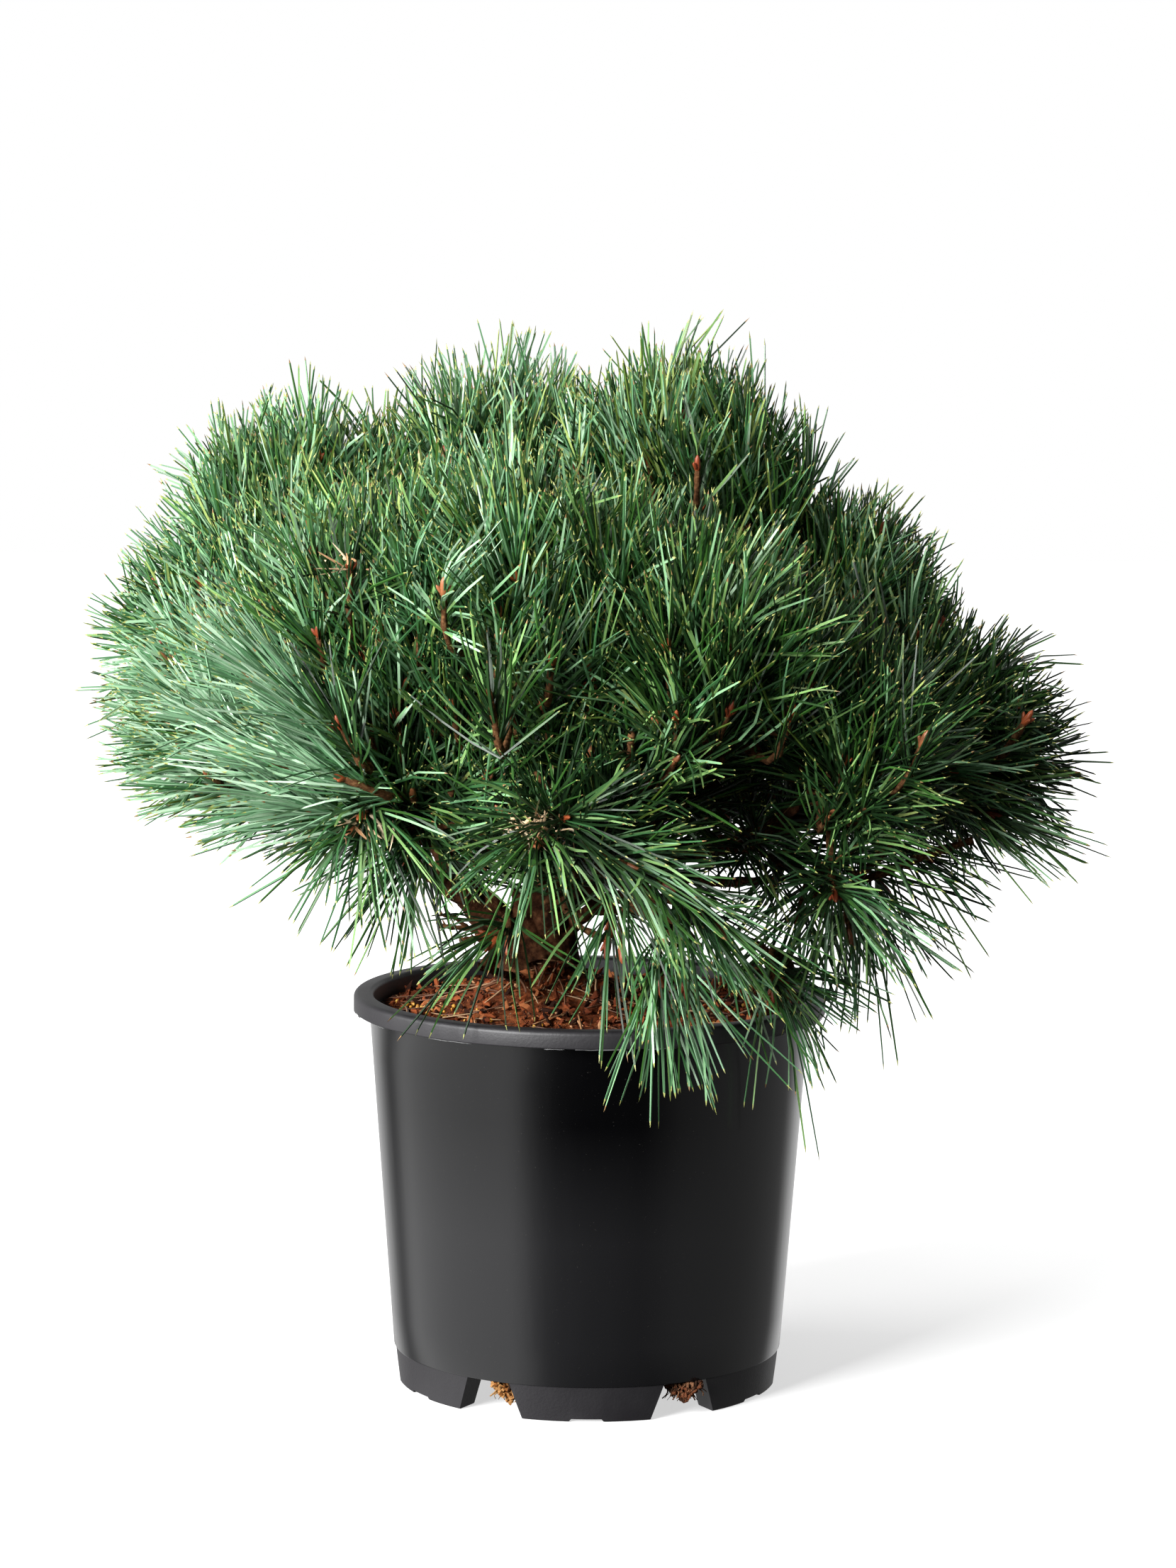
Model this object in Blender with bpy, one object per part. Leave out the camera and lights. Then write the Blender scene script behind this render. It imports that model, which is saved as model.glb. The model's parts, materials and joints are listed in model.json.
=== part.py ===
"""A dwarf blue Scots pine in a round black nursery pot, at its real size, in metres, +Z up.

The origin is the middle of the pot's underside, and -Y is the side that is seen first.
The pot holds a mound of potting soil. A short trunk stands on the soil and parts into two stems.
Boughs leave the stems and each other, and every bough ends in one mass of foliage.
"""

import math
import random
from collections import namedtuple

import bmesh
import bpy
from mathutils import Matrix, Vector

GAP = 0.0003
UP = Vector((0, 0, 1))
GOLDEN_ANGLE = math.pi * (3 - math.sqrt(5))

# Pot
POT_HEIGHT = 0.2325
POT_SIDES = 40
RIM_RADIUS = 0.140
RIM_HEIGHT = 0.0104
RIM_ROUND = 0.0028
RIM_CHAMFER = 0.0012
WALL_TOP_RADIUS = 0.1305
WALL_FOOT_RADIUS = 0.1155
WALL = 0.0022
FOOT_HEIGHT = 0.0206
FOOT_STEP = 0.0005
FOOT_TOP_RADIUS = 0.1146
FOOT_BOTTOM_RADIUS = 0.1128
FOOT_DEPTH = 0.016
FOOT_COUNT = 6
NOTCH_HALF_TOP = 0.014
NOTCH_HALF_BOTTOM = 0.0215
DRAIN_LENGTH = 0.020
DRAIN_WIDTH = 0.012
TOE_RECESS_HALF = 0.011
TOE_RECESS_HEIGHT = 0.0016
POCKET_INSET = 0.010
NARROWING = 0.8

# How far the pot's cutters run on past the faces that they cut
PAST_FOOT = 0.001
PAST_FLOOR = 0.002
PAST_RING = 0.004

# Soil
SOIL_EDGE_HEIGHT = 0.2215
SOIL_TOP = 0.2275
SOIL_FLAT_RADIUS = 0.048
SOIL_SIDES = 32
SOIL_CLEARANCE = 0.0012
SOIL_LUMPS = 0.0012
SOIL_SHOULDER = (0.80, 0.45)

# Trunk and boughs
TRUNK_FOOT = Vector((-0.027, -0.004, SOIL_TOP + GAP))
FLARE_LOBES = 5
FLARE_TURN = 0.6
TRUNK_SIDES = 14
STEM_SIDES = 10
STEM_SUNK = 0.001
BOUGH_SIDES = 6
BOUGH_STATIONS = 5
BEND_REACH = 0.36
LEAVE_ALONG = 0.35
HEART = Vector((-0.012, 0.0, 0.255))

# The flare from the soil up, as (height, radius, how much the roots swell it)
FLARE = [(0.000, 0.0300, 0.20), (0.005, 0.0245, 0.10), (0.015, 0.0140, 0.02)]

# Shoots and needles
SHOOT_SPACING = 0.047
SHOOT_SHARE = 0.62
SHOOT_RADIUS = 0.0042
SHOOT_TAPER = 0.35
SHOOT_ROOM = SHOOT_RADIUS * 1.2
TWIG_RADIUS = 0.0024
TWIG_SIDES = 3
NEEDLE_ROWS = 3
NEEDLE_LENGTH = 0.060
NEEDLE_SHORTEST = 0.94
NEEDLE_ROOT = 0.0022
NEEDLE_TIP_ROOM = NEEDLE_ROOT * 0.6
NEEDLE_ANGLE_LOW = math.radians(62)
NEEDLE_ANGLE_HIGH = math.radians(22)
NEEDLE_SCALES = (1.0, 0.85, 0.7, 0.5)
NEEDLE_START = 0.004
BUD_DEPTH = 0.052
BUD_DEPTH_SHARE = 0.55
BUD_ROOM = 0.008
CAP_ANGLE = math.radians(112)
CAP_JITTER = 0.06
TURN_JITTER = 0.2
PULLS = (1.0, 0.8, 0.6)
CORE_SHARE = 0.30
CORE_LUMPS = 0.12
CORE_ROOM = 0.002
CORE_ATTEMPTS = 12
CORE_SHRINK = 0.82

# A shoot leans partly straight out of its mass, partly along the mass's heading and partly up
LEAN_OUT = 0.85
LEAN_ALONG = 0.25
LEAN_UP = 0.15
USUAL_RISE = 0.4

# A mass's stem, from its foot to the whorl where the last twigs leave it, as shares of the mass's reach
STALK_FOOT = 0.60
STALK_WHORL = 0.12
STALK_SIDES = 5
STALK_TAPER = 0.85
STALK_TIP = TWIG_RADIUS * 1.3
STALK_CLEARANCE = 0.0065
FORKS = (0.75, 0.97)
TWIG_START = 0.35

# Room that needles and twigs leave round limbs, the rim and the floor
LIMB_SEARCH = 0.030
LIMB_ROOM = 0.0015
RIM_ROOM = 0.001
LOWEST_NEEDLE = 0.060

Mass = namedtuple("Mass", "name centre reach rise parent along radius")

# Each mass of foliage: its middle, how far its needles reach from there, how much its shoots rise (or droop),
# the limb that its bough leaves, how far along that limb, and the bough's radius there.
MASSES = [
    Mass("crest", (0.056, 0.020, 0.521), 0.111, 0.6, "right_stem", 0.97, 0.0088),
    Mass("left_shoulder", (-0.168, 0.025, 0.493), 0.108, 0.5, "left_stem", 0.97, 0.0078),
    Mass("right_shoulder", (0.145, 0.020, 0.458), 0.100, 0.4, "right_stem", 0.80, 0.0080),
    Mass("right_side", (0.206, -0.028, 0.383), 0.100, 0.0, "right_stem", 0.62, 0.0078),
    Mass("left_low", (-0.202, -0.085, 0.400), 0.099, 0.1, "left_stem", 0.66, 0.0072),
    Mass("back_mound", (-0.030, 0.142, 0.450), 0.106, 0.3, "right_stem", 0.70, 0.0074),
    Mass("front_mound", (-0.042, -0.135, 0.470), 0.107, 0.4, "right_stem", 0.84, 0.0072),
    Mass("low_centre", (-0.005, -0.158, 0.357), 0.094, 0.2, "right_stem", 0.55, 0.0052),
    Mass("droop_front", (0.068, -0.142, 0.275), 0.098, -0.5, "right_stem", 0.42, 0.0050),
    Mass("upper_left", (-0.054, 0.040, 0.515), 0.108, 0.5, "crest_bough", 0.42, 0.0052),
    Mass("front_right", (0.056, -0.145, 0.440), 0.104, 0.3, "front_mound_bough", 0.36, 0.0050),
    Mass("front_left", (-0.128, -0.112, 0.452), 0.101, 0.3, "front_mound_bough", 0.50, 0.0048),
    Mass("left_side", (-0.212, 0.000, 0.444), 0.100, 0.2, "left_shoulder_bough", 0.46, 0.0048),
    Mass("low_left", (-0.096, -0.122, 0.358), 0.088, 0.0, "left_low_bough", 0.34, 0.0042),
    Mass("back_left", (-0.146, 0.115, 0.437), 0.103, 0.3, "left_shoulder_bough", 0.28, 0.0052),
    Mass("left_back_low", (-0.186, 0.088, 0.366), 0.090, 0.1, "back_left_bough", 0.40, 0.0038),
    Mass("back_right", (0.088, 0.132, 0.437), 0.102, 0.3, "right_shoulder_bough", 0.34, 0.0052),
    Mass("back_low", (-0.078, 0.155, 0.350), 0.092, 0.0, "back_mound_bough", 0.40, 0.0048),
    Mass("back_low_right", (0.062, 0.155, 0.342), 0.092, 0.0, "back_mound_bough", 0.26, 0.0046),
    Mass("right_back", (0.187, 0.085, 0.372), 0.097, 0.1, "right_side_bough", 0.36, 0.0052),
    Mass("right_front", (0.142, -0.118, 0.385), 0.096, 0.2, "right_side_bough", 0.48, 0.0048),
    Mass("low_right", (0.148, -0.058, 0.312), 0.082, -0.2, "right_side_bough", 0.20, 0.0046),
    Mass("rim_right", (0.130, -0.104, 0.252), 0.074, -0.5, "droop_front_bough", 0.34, 0.0034),
    Mass("foot_left", (-0.068, -0.086, 0.258), 0.064, -0.3, "left_stem", 0.16, 0.0030),
]
OPEN_MASSES = ("droop_front", "rim_right", "low_right", "foot_left")
TIP_RADIUS = {"crest": 0.0056}
USUAL_TIP_SHARE = 0.62
LEAST_TIP_RADIUS = 0.0028
STALKLESS = ("foot_left",)

BLACK_PLASTIC = ((0.028, 0.028, 0.030), 0.34)
POTTING_SOIL = ((0.120, 0.052, 0.025), 0.95)
GREY_BROWN_BARK = ((0.120, 0.065, 0.038), 0.90)
BLUE_GREEN_NEEDLE = ((0.070, 0.190, 0.085), 0.55)


def clear_scene():
    for obj in list(bpy.data.objects):
        bpy.data.objects.remove(obj)


def material(name, look):
    colour, roughness = look
    made = bpy.data.materials.new(name)
    made.use_nodes = True
    shader = made.node_tree.nodes["Principled BSDF"]
    shader.inputs["Base Color"].default_value = (*colour, 1)
    shader.inputs["Roughness"].default_value = roughness
    shader.inputs["Metallic"].default_value = 0
    return made


def add_object(name, bm, look=None, helper=False):
    """Puts the mesh in the scene, with its faces pointing out."""
    bmesh.ops.recalc_face_normals(bm, faces=bm.faces)
    mesh = bpy.data.meshes.new(name)
    bm.to_mesh(mesh)
    bm.free()
    obj = bpy.data.objects.new(name, mesh)
    bpy.context.scene.collection.objects.link(obj)
    if look:
        obj.data.materials.append(look)
    if helper:
        obj.hide_render = True
        obj.display_type = "WIRE"
    return obj


def apply_modifiers(obj):
    """Bakes the modifiers into the mesh."""
    graph = bpy.context.evaluated_depsgraph_get()
    done = bpy.data.meshes.new_from_object(obj.evaluated_get(graph))
    obj.modifiers.clear()
    old = obj.data
    obj.data = done
    bpy.data.meshes.remove(old)


def boolean(obj, operation, operand):
    step = obj.modifiers.new(operation.title(), "BOOLEAN")
    step.operation = operation
    step.solver = "EXACT"
    if isinstance(operand, bpy.types.Collection):
        step.operand_type = "COLLECTION"
        step.collection = operand
    else:
        step.object = operand
    return step


def turned(profile, sides):
    """A closed solid turned about Z from a profile of (radius, height) that starts and ends on the axis."""
    bm = bmesh.new()
    rings = []
    for radius, height in profile[1:-1]:
        ring = []
        for side in range(sides):
            turn = 2 * math.pi * side / sides
            ring.append(bm.verts.new((radius * math.cos(turn), radius * math.sin(turn), height)))
        rings.append(ring)
    first = bm.verts.new((0, 0, profile[0][1]))
    last = bm.verts.new((0, 0, profile[-1][1]))
    for side in range(sides):
        after = (side + 1) % sides
        bm.faces.new((first, rings[0][side], rings[0][after]))
        bm.faces.new((last, rings[-1][after], rings[-1][side]))
        for low, high in zip(rings, rings[1:]):
            bm.faces.new((low[side], low[after], high[after], high[side]))
    return bm


def wall_radius(height):
    """The outer radius of the plain wall."""
    share = (height - FOOT_HEIGHT) / (POT_HEIGHT - RIM_HEIGHT - FOOT_HEIGHT)
    return WALL_FOOT_RADIUS + (WALL_TOP_RADIUS - WALL_FOOT_RADIUS) * share


def pot_profile():
    """From the middle of the underside, out and up the wall, over the rim and down inside."""
    rim_foot = POT_HEIGHT - RIM_HEIGHT
    inside_top = wall_radius(rim_foot) - WALL
    ring_radius = FOOT_BOTTOM_RADIUS - FOOT_DEPTH
    return [
        (0, FOOT_HEIGHT),
        (ring_radius, FOOT_HEIGHT),
        (ring_radius, 0),
        (FOOT_BOTTOM_RADIUS, 0),
        (FOOT_TOP_RADIUS, FOOT_HEIGHT),
        (WALL_FOOT_RADIUS, FOOT_HEIGHT + FOOT_STEP),
        (WALL_TOP_RADIUS, rim_foot),
        (RIM_RADIUS - RIM_CHAMFER, rim_foot),
        (RIM_RADIUS, rim_foot + RIM_CHAMFER),
        (RIM_RADIUS, POT_HEIGHT - RIM_ROUND),
        (RIM_RADIUS - RIM_ROUND, POT_HEIGHT),
        (inside_top + RIM_ROUND, POT_HEIGHT),
        (inside_top, POT_HEIGHT - RIM_ROUND),
        (wall_radius(FOOT_HEIGHT) - WALL, FOOT_HEIGHT + WALL),
        (0, FOOT_HEIGHT + WALL),
    ]


def wedge(turn, half_low, half_high, z_low, z_high, r_low, r_high):
    """A block that points away from the pot's axis, with slanted sides."""
    bm = bmesh.new()
    corners = []
    for height, half in ((z_low, half_low), (z_high, half_high)):
        for radius, side in ((r_low, -half), (r_high, -half), (r_high, half), (r_low, half)):
            corners.append(bm.verts.new((radius, side, height)))
    low, high = corners[:4], corners[4:]
    bm.faces.new(low)
    bm.faces.new(high)
    for corner in range(4):
        after = (corner + 1) % 4
        bm.faces.new((low[corner], low[after], high[after], high[corner]))
    bmesh.ops.rotate(bm, verts=bm.verts, matrix=Matrix.Rotation(turn, 3, "Z"))
    return bm


def foot_cutters():
    """The notches between the feet, the drain holes above them, and the recess under each foot."""
    ring_radius = FOOT_BOTTOM_RADIUS - FOOT_DEPTH
    step = 2 * math.pi / FOOT_COUNT
    for index in range(FOOT_COUNT):
        notch_turn = step * (index + 0.5) - math.pi / 2
        yield wedge(
            notch_turn,
            NOTCH_HALF_BOTTOM,
            NOTCH_HALF_TOP,
            -PAST_FOOT,
            FOOT_HEIGHT,
            ring_radius - PAST_RING,
            RIM_RADIUS,
        )
        yield wedge(
            notch_turn,
            DRAIN_WIDTH / 2,
            DRAIN_WIDTH / 2,
            FOOT_HEIGHT - PAST_FLOOR,
            FOOT_HEIGHT + WALL + PAST_FLOOR,
            FOOT_BOTTOM_RADIUS - DRAIN_LENGTH - PAST_RING,
            FOOT_BOTTOM_RADIUS - PAST_RING,
        )
        yield wedge(
            step * index - math.pi / 2,
            TOE_RECESS_HALF,
            TOE_RECESS_HALF * NARROWING,
            -PAST_FOOT,
            TOE_RECESS_HEIGHT,
            ring_radius - PAST_RING,
            RIM_RADIUS,
        )


def pocket_cutters():
    """The hollow inside each foot, open to the pot."""
    step = 2 * math.pi / FOOT_COUNT
    inner = FOOT_BOTTOM_RADIUS - FOOT_DEPTH + WALL
    outer = (FOOT_BOTTOM_RADIUS - WALL) * math.cos(step / 4)
    for index in range(FOOT_COUNT):
        half = FOOT_BOTTOM_RADIUS * math.sin(step / 2) - NOTCH_HALF_BOTTOM - POCKET_INSET
        yield wedge(
            step * index - math.pi / 2,
            half * NARROWING,
            half,
            TOE_RECESS_HEIGHT + WALL,
            FOOT_HEIGHT + WALL + PAST_FLOOR,
            inner,
            outer,
        )


def make_pot(look):
    pot = add_object("pot", turned(pot_profile(), POT_SIDES), look)
    for index, cutter in enumerate([*foot_cutters(), *pocket_cutters()]):
        helper = add_object(f"pot_cutter_{index}", cutter, helper=True)
        boolean(pot, "DIFFERENCE", helper)
    apply_modifiers(pot)
    for obj in list(bpy.data.objects):
        if obj.name.startswith("pot_cutter"):
            bpy.data.objects.remove(obj)
    pot.data.shade_smooth()
    pot.data.set_sharp_from_angle(angle=math.radians(30))


def make_soil(look):
    """The soil fills the pot, and rises to a flat place under the trunk."""
    floor = FOOT_HEIGHT + WALL + GAP
    edge = SOIL_EDGE_HEIGHT
    bottom_radius = WALL_FOOT_RADIUS - WALL - SOIL_CLEARANCE
    edge_radius = wall_radius(edge) - WALL - SOIL_CLEARANCE
    shoulder_share, shoulder_rise = SOIL_SHOULDER
    profile = [
        (0, floor),
        (bottom_radius, floor),
        (edge_radius, edge),
        (edge_radius * shoulder_share, edge + shoulder_rise * (SOIL_TOP - edge)),
        (SOIL_FLAT_RADIUS, SOIL_TOP),
        (0, SOIL_TOP),
    ]
    bm = turned(profile, SOIL_SIDES)
    top = [vert for vert in bm.verts if vert.co.z > SOIL_TOP - GAP / 2]
    chance = random.Random(3)
    for vert in bm.verts:
        if vert.co.z > edge and vert not in top:
            vert.co.z += chance.uniform(-SOIL_LUMPS, SOIL_LUMPS)
    bmesh.ops.translate(bm, verts=top, vec=(TRUNK_FOOT.x, 0, 0))
    add_object("soil", bm, look)


def across(direction):
    """Two unit vectors square to the direction and to each other."""
    side = direction.cross(UP)
    if side.length < 0.05:
        side = direction.cross(Vector((0, 1, 0)))
    side.normalize()
    return side, direction.cross(side).normalized()


def tube(points, radii, sides, lobes=None, first_way=None, last_way=None):
    """A closed tapering limb along the points. Lobes gives how far the radius swells at a turn and a station.

    Its first and last face look along first_way and last_way, or else along the limb.
    """
    bm = bmesh.new()
    rings = []
    side = None
    last = len(points) - 1
    for station, point in enumerate(points):
        before = points[max(station - 1, 0)]
        after = points[min(station + 1, last)]
        along = (after - before).normalized()
        if station == 0 and first_way:
            along = first_way
        if station == last and last_way:
            along = last_way
        if side is None:
            side, other = across(along)
        else:
            side = (side - along * side.dot(along)).normalized()
            other = along.cross(side)
        ring = []
        for corner in range(sides):
            turn = 2 * math.pi * corner / sides
            radius = radii[station] * (lobes(turn, station) if lobes else 1)
            ring.append(bm.verts.new(point + (side * math.cos(turn) + other * math.sin(turn)) * radius))
        rings.append(ring)
    bm.faces.new(rings[0])
    bm.faces.new(rings[-1])
    for low, high in zip(rings, rings[1:]):
        for corner in range(sides):
            after = (corner + 1) % sides
            bm.faces.new((low[corner], low[after], high[after], high[corner]))
    return bm


def bend(start, start_way, end, end_way, count):
    """Points of one smooth curve that leaves and arrives in the given ways."""
    reach = (end - start).length * BEND_REACH
    a, b = start + start_way * reach, end - end_way * reach
    points = []
    for index in range(count):
        t = index / (count - 1)
        s = 1 - t
        points.append(start * s**3 + a * 3 * s * s * t + b * 3 * s * t * t + end * t**3)
    return points


# The two stems of the trunk, each a list of (point, radius) from its foot to its fork
STEMS = {
    "right_stem": [
        (TRUNK_FOOT + Vector((0.007, 0.002, 0.000)), 0.0165),
        (TRUNK_FOOT + Vector((0.008, 0.002, 0.014)), 0.0140),
        (TRUNK_FOOT + Vector((0.007, 0.003, 0.034)), 0.0125),
        (TRUNK_FOOT + Vector((0.004, 0.005, 0.052)), 0.0165),
        (TRUNK_FOOT + Vector((0.006, 0.007, 0.068)), 0.0160),
        (TRUNK_FOOT + Vector((0.010, 0.008, 0.082)), 0.0105),
    ],
    "left_stem": [
        (TRUNK_FOOT + Vector((-0.010, 0.000, 0.000)), 0.0160),
        (TRUNK_FOOT + Vector((-0.014, 0.000, 0.014)), 0.0130),
        (TRUNK_FOOT + Vector((-0.022, 0.001, 0.034)), 0.0115),
        (TRUNK_FOOT + Vector((-0.034, 0.002, 0.052)), 0.0120),
        (TRUNK_FOOT + Vector((-0.048, 0.004, 0.066)), 0.0095),
    ],
}


def trunk_pieces(grow):
    """The flare and both stems, as meshes that overlap. Grow makes them that much thicker, for a cutter."""

    def lobes(turn, station):
        return 1 + FLARE[station][2] * math.cos(FLARE_LOBES * turn + FLARE_TURN)

    middles = [TRUNK_FOOT + UP * height for height, radius, swell in FLARE]
    middles[0] = TRUNK_FOOT - UP * grow
    yield tube(middles, [radius + grow for height, radius, swell in FLARE], TRUNK_SIDES, lobes)
    for name in STEMS:
        points, radii = stem_path(name)
        points[0] = points[0] + UP * (STEM_SUNK - grow)
        points[-1] = points[-1] + (points[-1] - points[-2]).normalized() * grow
        yield tube(points, [radius + grow for radius in radii], STEM_SIDES, first_way=UP)


def fuse(name, meshes, look, solver="EXACT", helper=False):
    """One closed solid from meshes that overlap, by one Boolean union on a collection."""
    base = add_object(name, meshes[0], look, helper)
    others = bpy.data.collections.new(name + "_pieces")
    bpy.context.scene.collection.children.link(others)
    for index, piece in enumerate(meshes[1:]):
        obj = add_object(f"{name}_piece_{index}", piece)
        bpy.context.scene.collection.objects.unlink(obj)
        others.objects.link(obj)
    boolean(base, "UNION", others).solver = solver
    apply_modifiers(base)
    for obj in list(others.objects):
        bpy.data.objects.remove(obj)
    bpy.data.collections.remove(others)
    keep_largest(base)
    return base


def islands(bm):
    """Groups of faces that share edges."""
    left = set(bm.faces)
    groups = []
    while left:
        group = [left.pop()]
        for face in group:
            for edge in face.edges:
                for other in edge.link_faces:
                    if other in left:
                        left.remove(other)
                        group.append(other)
        groups.append(group)
    return groups


def keep_largest(obj):
    """Drops loose scraps, and the skin of any sealed hollow."""
    bm = bmesh.new()
    bm.from_mesh(obj.data)
    groups = sorted(islands(bm), key=len)
    for group in groups[:-1]:
        bmesh.ops.delete(bm, geom=group, context="FACES")
    bm.to_mesh(obj.data)
    bm.free()


def heading(mass):
    """The way that a mass's middle shoot points: out from the crown's heart, and up or down by its rise."""
    out = (Vector(mass.centre) - HEART).normalized()
    return (out + UP * mass.rise).normalized()


def foot_of(mass):
    """Where a mass's stem meets its bough."""
    return Vector(mass.centre) - heading(mass) * mass.reach * STALK_FOOT


def stem_of(mass):
    """Both ends of a mass's stem. It leaves its bough's tip, or the trunk itself."""
    start = foot_of(mass)
    whorl = Vector(mass.centre) - heading(mass) * mass.reach * STALK_WHORL
    if mass.name in STALKLESS:
        point, way, thick = on_path(stem_path(mass.parent), mass.along)
        start = point + (start - point).normalized() * (thick + STALK_CLEARANCE)
    return start, whorl


def on_path(path, share):
    """The point, the way and the radius at a share of a limb's length."""
    points, radii = path
    place = share * (len(points) - 1)
    index = min(int(place), len(points) - 2)
    t = place - index
    point = points[index].lerp(points[index + 1], t)
    way = (points[index + 1] - points[index]).normalized()
    return point, way, radii[index] * (1 - t) + radii[index + 1] * t


def stem_path(name):
    return [point for point, radius in STEMS[name]], [radius for point, radius in STEMS[name]]


def limb_paths():
    """Each limb's points and radii, from the trunk outwards."""
    paths = {name: stem_path(name) for name in STEMS}
    for mass in MASSES:
        if mass.name in STALKLESS:
            continue
        start, way, thick = on_path(paths[mass.parent], mass.along)
        end_way = heading(mass)
        end = foot_of(mass) - end_way * GAP
        leave = (way * LEAVE_ALONG + (end - start).normalized()).normalized()
        points = bend(start, leave, end, end_way, BOUGH_STATIONS)
        tip = TIP_RADIUS.get(mass.name, max(mass.radius * USUAL_TIP_SHARE, LEAST_TIP_RADIUS))
        last = BOUGH_STATIONS - 1
        radii = [mass.radius + (tip - mass.radius) * station / last for station in range(BOUGH_STATIONS)]
        paths[mass.name + "_bough"] = (points, radii)
    return paths


def make_trunk(look):
    trunk = fuse("trunk", list(trunk_pieces(0)), look)
    return trunk, fuse("trunk_cutter", list(trunk_pieces(GAP)), None, helper=True)


def apart(a, b, c, d):
    """The least distance between the rods a to b and c to d."""
    u, v, w = b - a, d - c, a - c
    uu, uv, vv, uw, vw = u.dot(u), u.dot(v), v.dot(v), u.dot(w), v.dot(w)
    spread = uu * vv - uv * uv
    parallel = spread < 1e-12
    s = 0.0 if parallel else max(0.0, min(1.0, (uv * vw - vv * uw) / spread))
    t = max(0.0, min(1.0, (uv * s + vw) / vv))
    s = max(0.0, min(1.0, (uv * t - uw) / uu))
    return (w + u * s - v * t).length


def near(limb, other):
    """True if two limbs come close enough to touch."""
    reach = max(limb[1]) + max(other[1]) + 2 * GAP
    for a, b in zip(limb[0], limb[0][1:]):
        for c, d in zip(other[0], other[0][1:]):
            if apart(a, b, c, d) < reach:
                return True
    return False


def make_boughs(paths, trunk_cutter, look):
    """Each bough starts inside its parent limb and is cut back to 0.3 mm from it and the boughs before it."""
    cutters = {}
    for mass in MASSES:
        if mass.name in STALKLESS:
            continue
        limb = paths[mass.name + "_bough"]
        bough = add_object(mass.name + "_bough", tube(*limb, BOUGH_SIDES, last_way=heading(mass)), look)
        for cutter in [trunk_cutter, *(obj for other, obj in cutters.values() if near(limb, other))]:
            boolean(bough, "DIFFERENCE", cutter)
            apply_modifiers(bough)
        keep_largest(bough)
        bough.data.shade_smooth()
        points, radii = limb
        grown = tube(points, [radius + GAP for radius in radii], BOUGH_SIDES, last_way=heading(mass))
        cutters[mass.name] = (limb, add_object(mass.name + "_cutter", grown, helper=True))
    for limb, obj in cutters.values():
        bpy.data.objects.remove(obj)
    bpy.data.objects.remove(trunk_cutter)


def nearest_on_segment(point, a, b):
    span = b - a
    t = max(0.0, min(1.0, (point - a).dot(span) / span.length_squared))
    return a + span * t


def steps_between(a, b, steps):
    return [a.lerp(b, step / steps) for step in range(steps + 1)]


class Space:
    """The room that a mass keeps to: its cell among the masses, clear of every limb, the pot and the soil."""

    def __init__(self, mass, paths):
        self.mass = mass
        self.centre = Vector(mass.centre)
        self.limbs = []
        for name, (points, radii) in paths.items():
            for a, b, r, s in zip(points, points[1:], radii, radii[1:]):
                middle = (a + b) / 2
                if (middle - self.centre).length < mass.reach + LIMB_SEARCH:
                    self.limbs.append((a, b, max(r, s), name))
        for other in MASSES:
            if other is not mass:
                start, whorl = stem_of(other)
                self.limbs.append((start, whorl, other.radius, other.name))

    def depth(self, point):
        """How far inside its cell the point is. Walls stand where two masses' spheres have equal claims."""
        mine = (point - self.centre).length_squared - self.mass.reach**2
        least = 1.0
        for other in MASSES:
            if other is self.mass:
                continue
            centre = Vector(other.centre)
            theirs = (point - centre).length_squared - other.reach**2
            least = min(least, (theirs - mine) / (2 * (centre - self.centre).length))
        return least

    def clear_of_limbs(self, a, b, radius, skip=()):
        for point in steps_between(a, b, 6):
            for p, q, thick, name in self.limbs:
                if name in skip:
                    continue
                if (point - nearest_on_segment(point, p, q)).length < thick + radius + LIMB_ROOM:
                    return False
        return True

    def clear_of_pot(self, point, radius):
        out = math.hypot(point.x, point.y)
        if out < RIM_RADIUS + radius + RIM_ROOM:
            return point.z > POT_HEIGHT + radius + RIM_ROOM
        return point.z > LOWEST_NEEDLE

    def holds(self, a, b, radius, skip=()):
        """True if a rod from a to b stays in this space."""
        return (
            min(self.depth(a), self.depth(b)) > radius + GAP
            and all(self.clear_of_pot(point, radius) for point in steps_between(a, b, 8))
            and self.clear_of_limbs(a, b, radius, skip)
        )


def turned_off(way, angle, turn):
    """The way, tilted by an angle towards a turn about it."""
    side, other = across(way)
    return way * math.cos(angle) + (side * math.cos(turn) + other * math.sin(turn)) * math.sin(angle)


def shoots_of(mass, space):
    """The (foot, bud) of each shoot, evenly spread on a cap round the mass's heading where its cell has room."""
    way = heading(mass)
    shell = mass.reach - min(BUD_DEPTH, mass.reach * BUD_DEPTH_SHARE)
    cap = 1 - math.cos(CAP_ANGLE)
    count = max(4, round(2 * math.pi * cap * shell**2 / SHOOT_SPACING**2))
    chance = random.Random(mass.name)
    shoots = []
    for index in range(count):
        angle = math.acos(1 - cap * (index + 0.25) / count) + chance.uniform(-CAP_JITTER, CAP_JITTER)
        out = turned_off(way, angle, index * GOLDEN_ANGLE + chance.uniform(-TURN_JITTER, TURN_JITTER))
        lean = (out * LEAN_OUT + way * LEAN_ALONG + UP * LEAN_UP * (mass.rise + USUAL_RISE)).normalized()
        for pull in PULLS:
            bud = space.centre + out * shell * pull
            foot = bud - lean * shell * SHOOT_SHARE * pull
            if space.depth(bud) > BUD_ROOM and space.holds(foot, bud, SHOOT_RADIUS):
                shoots.append((foot, bud))
                break
    return shoots


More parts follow.
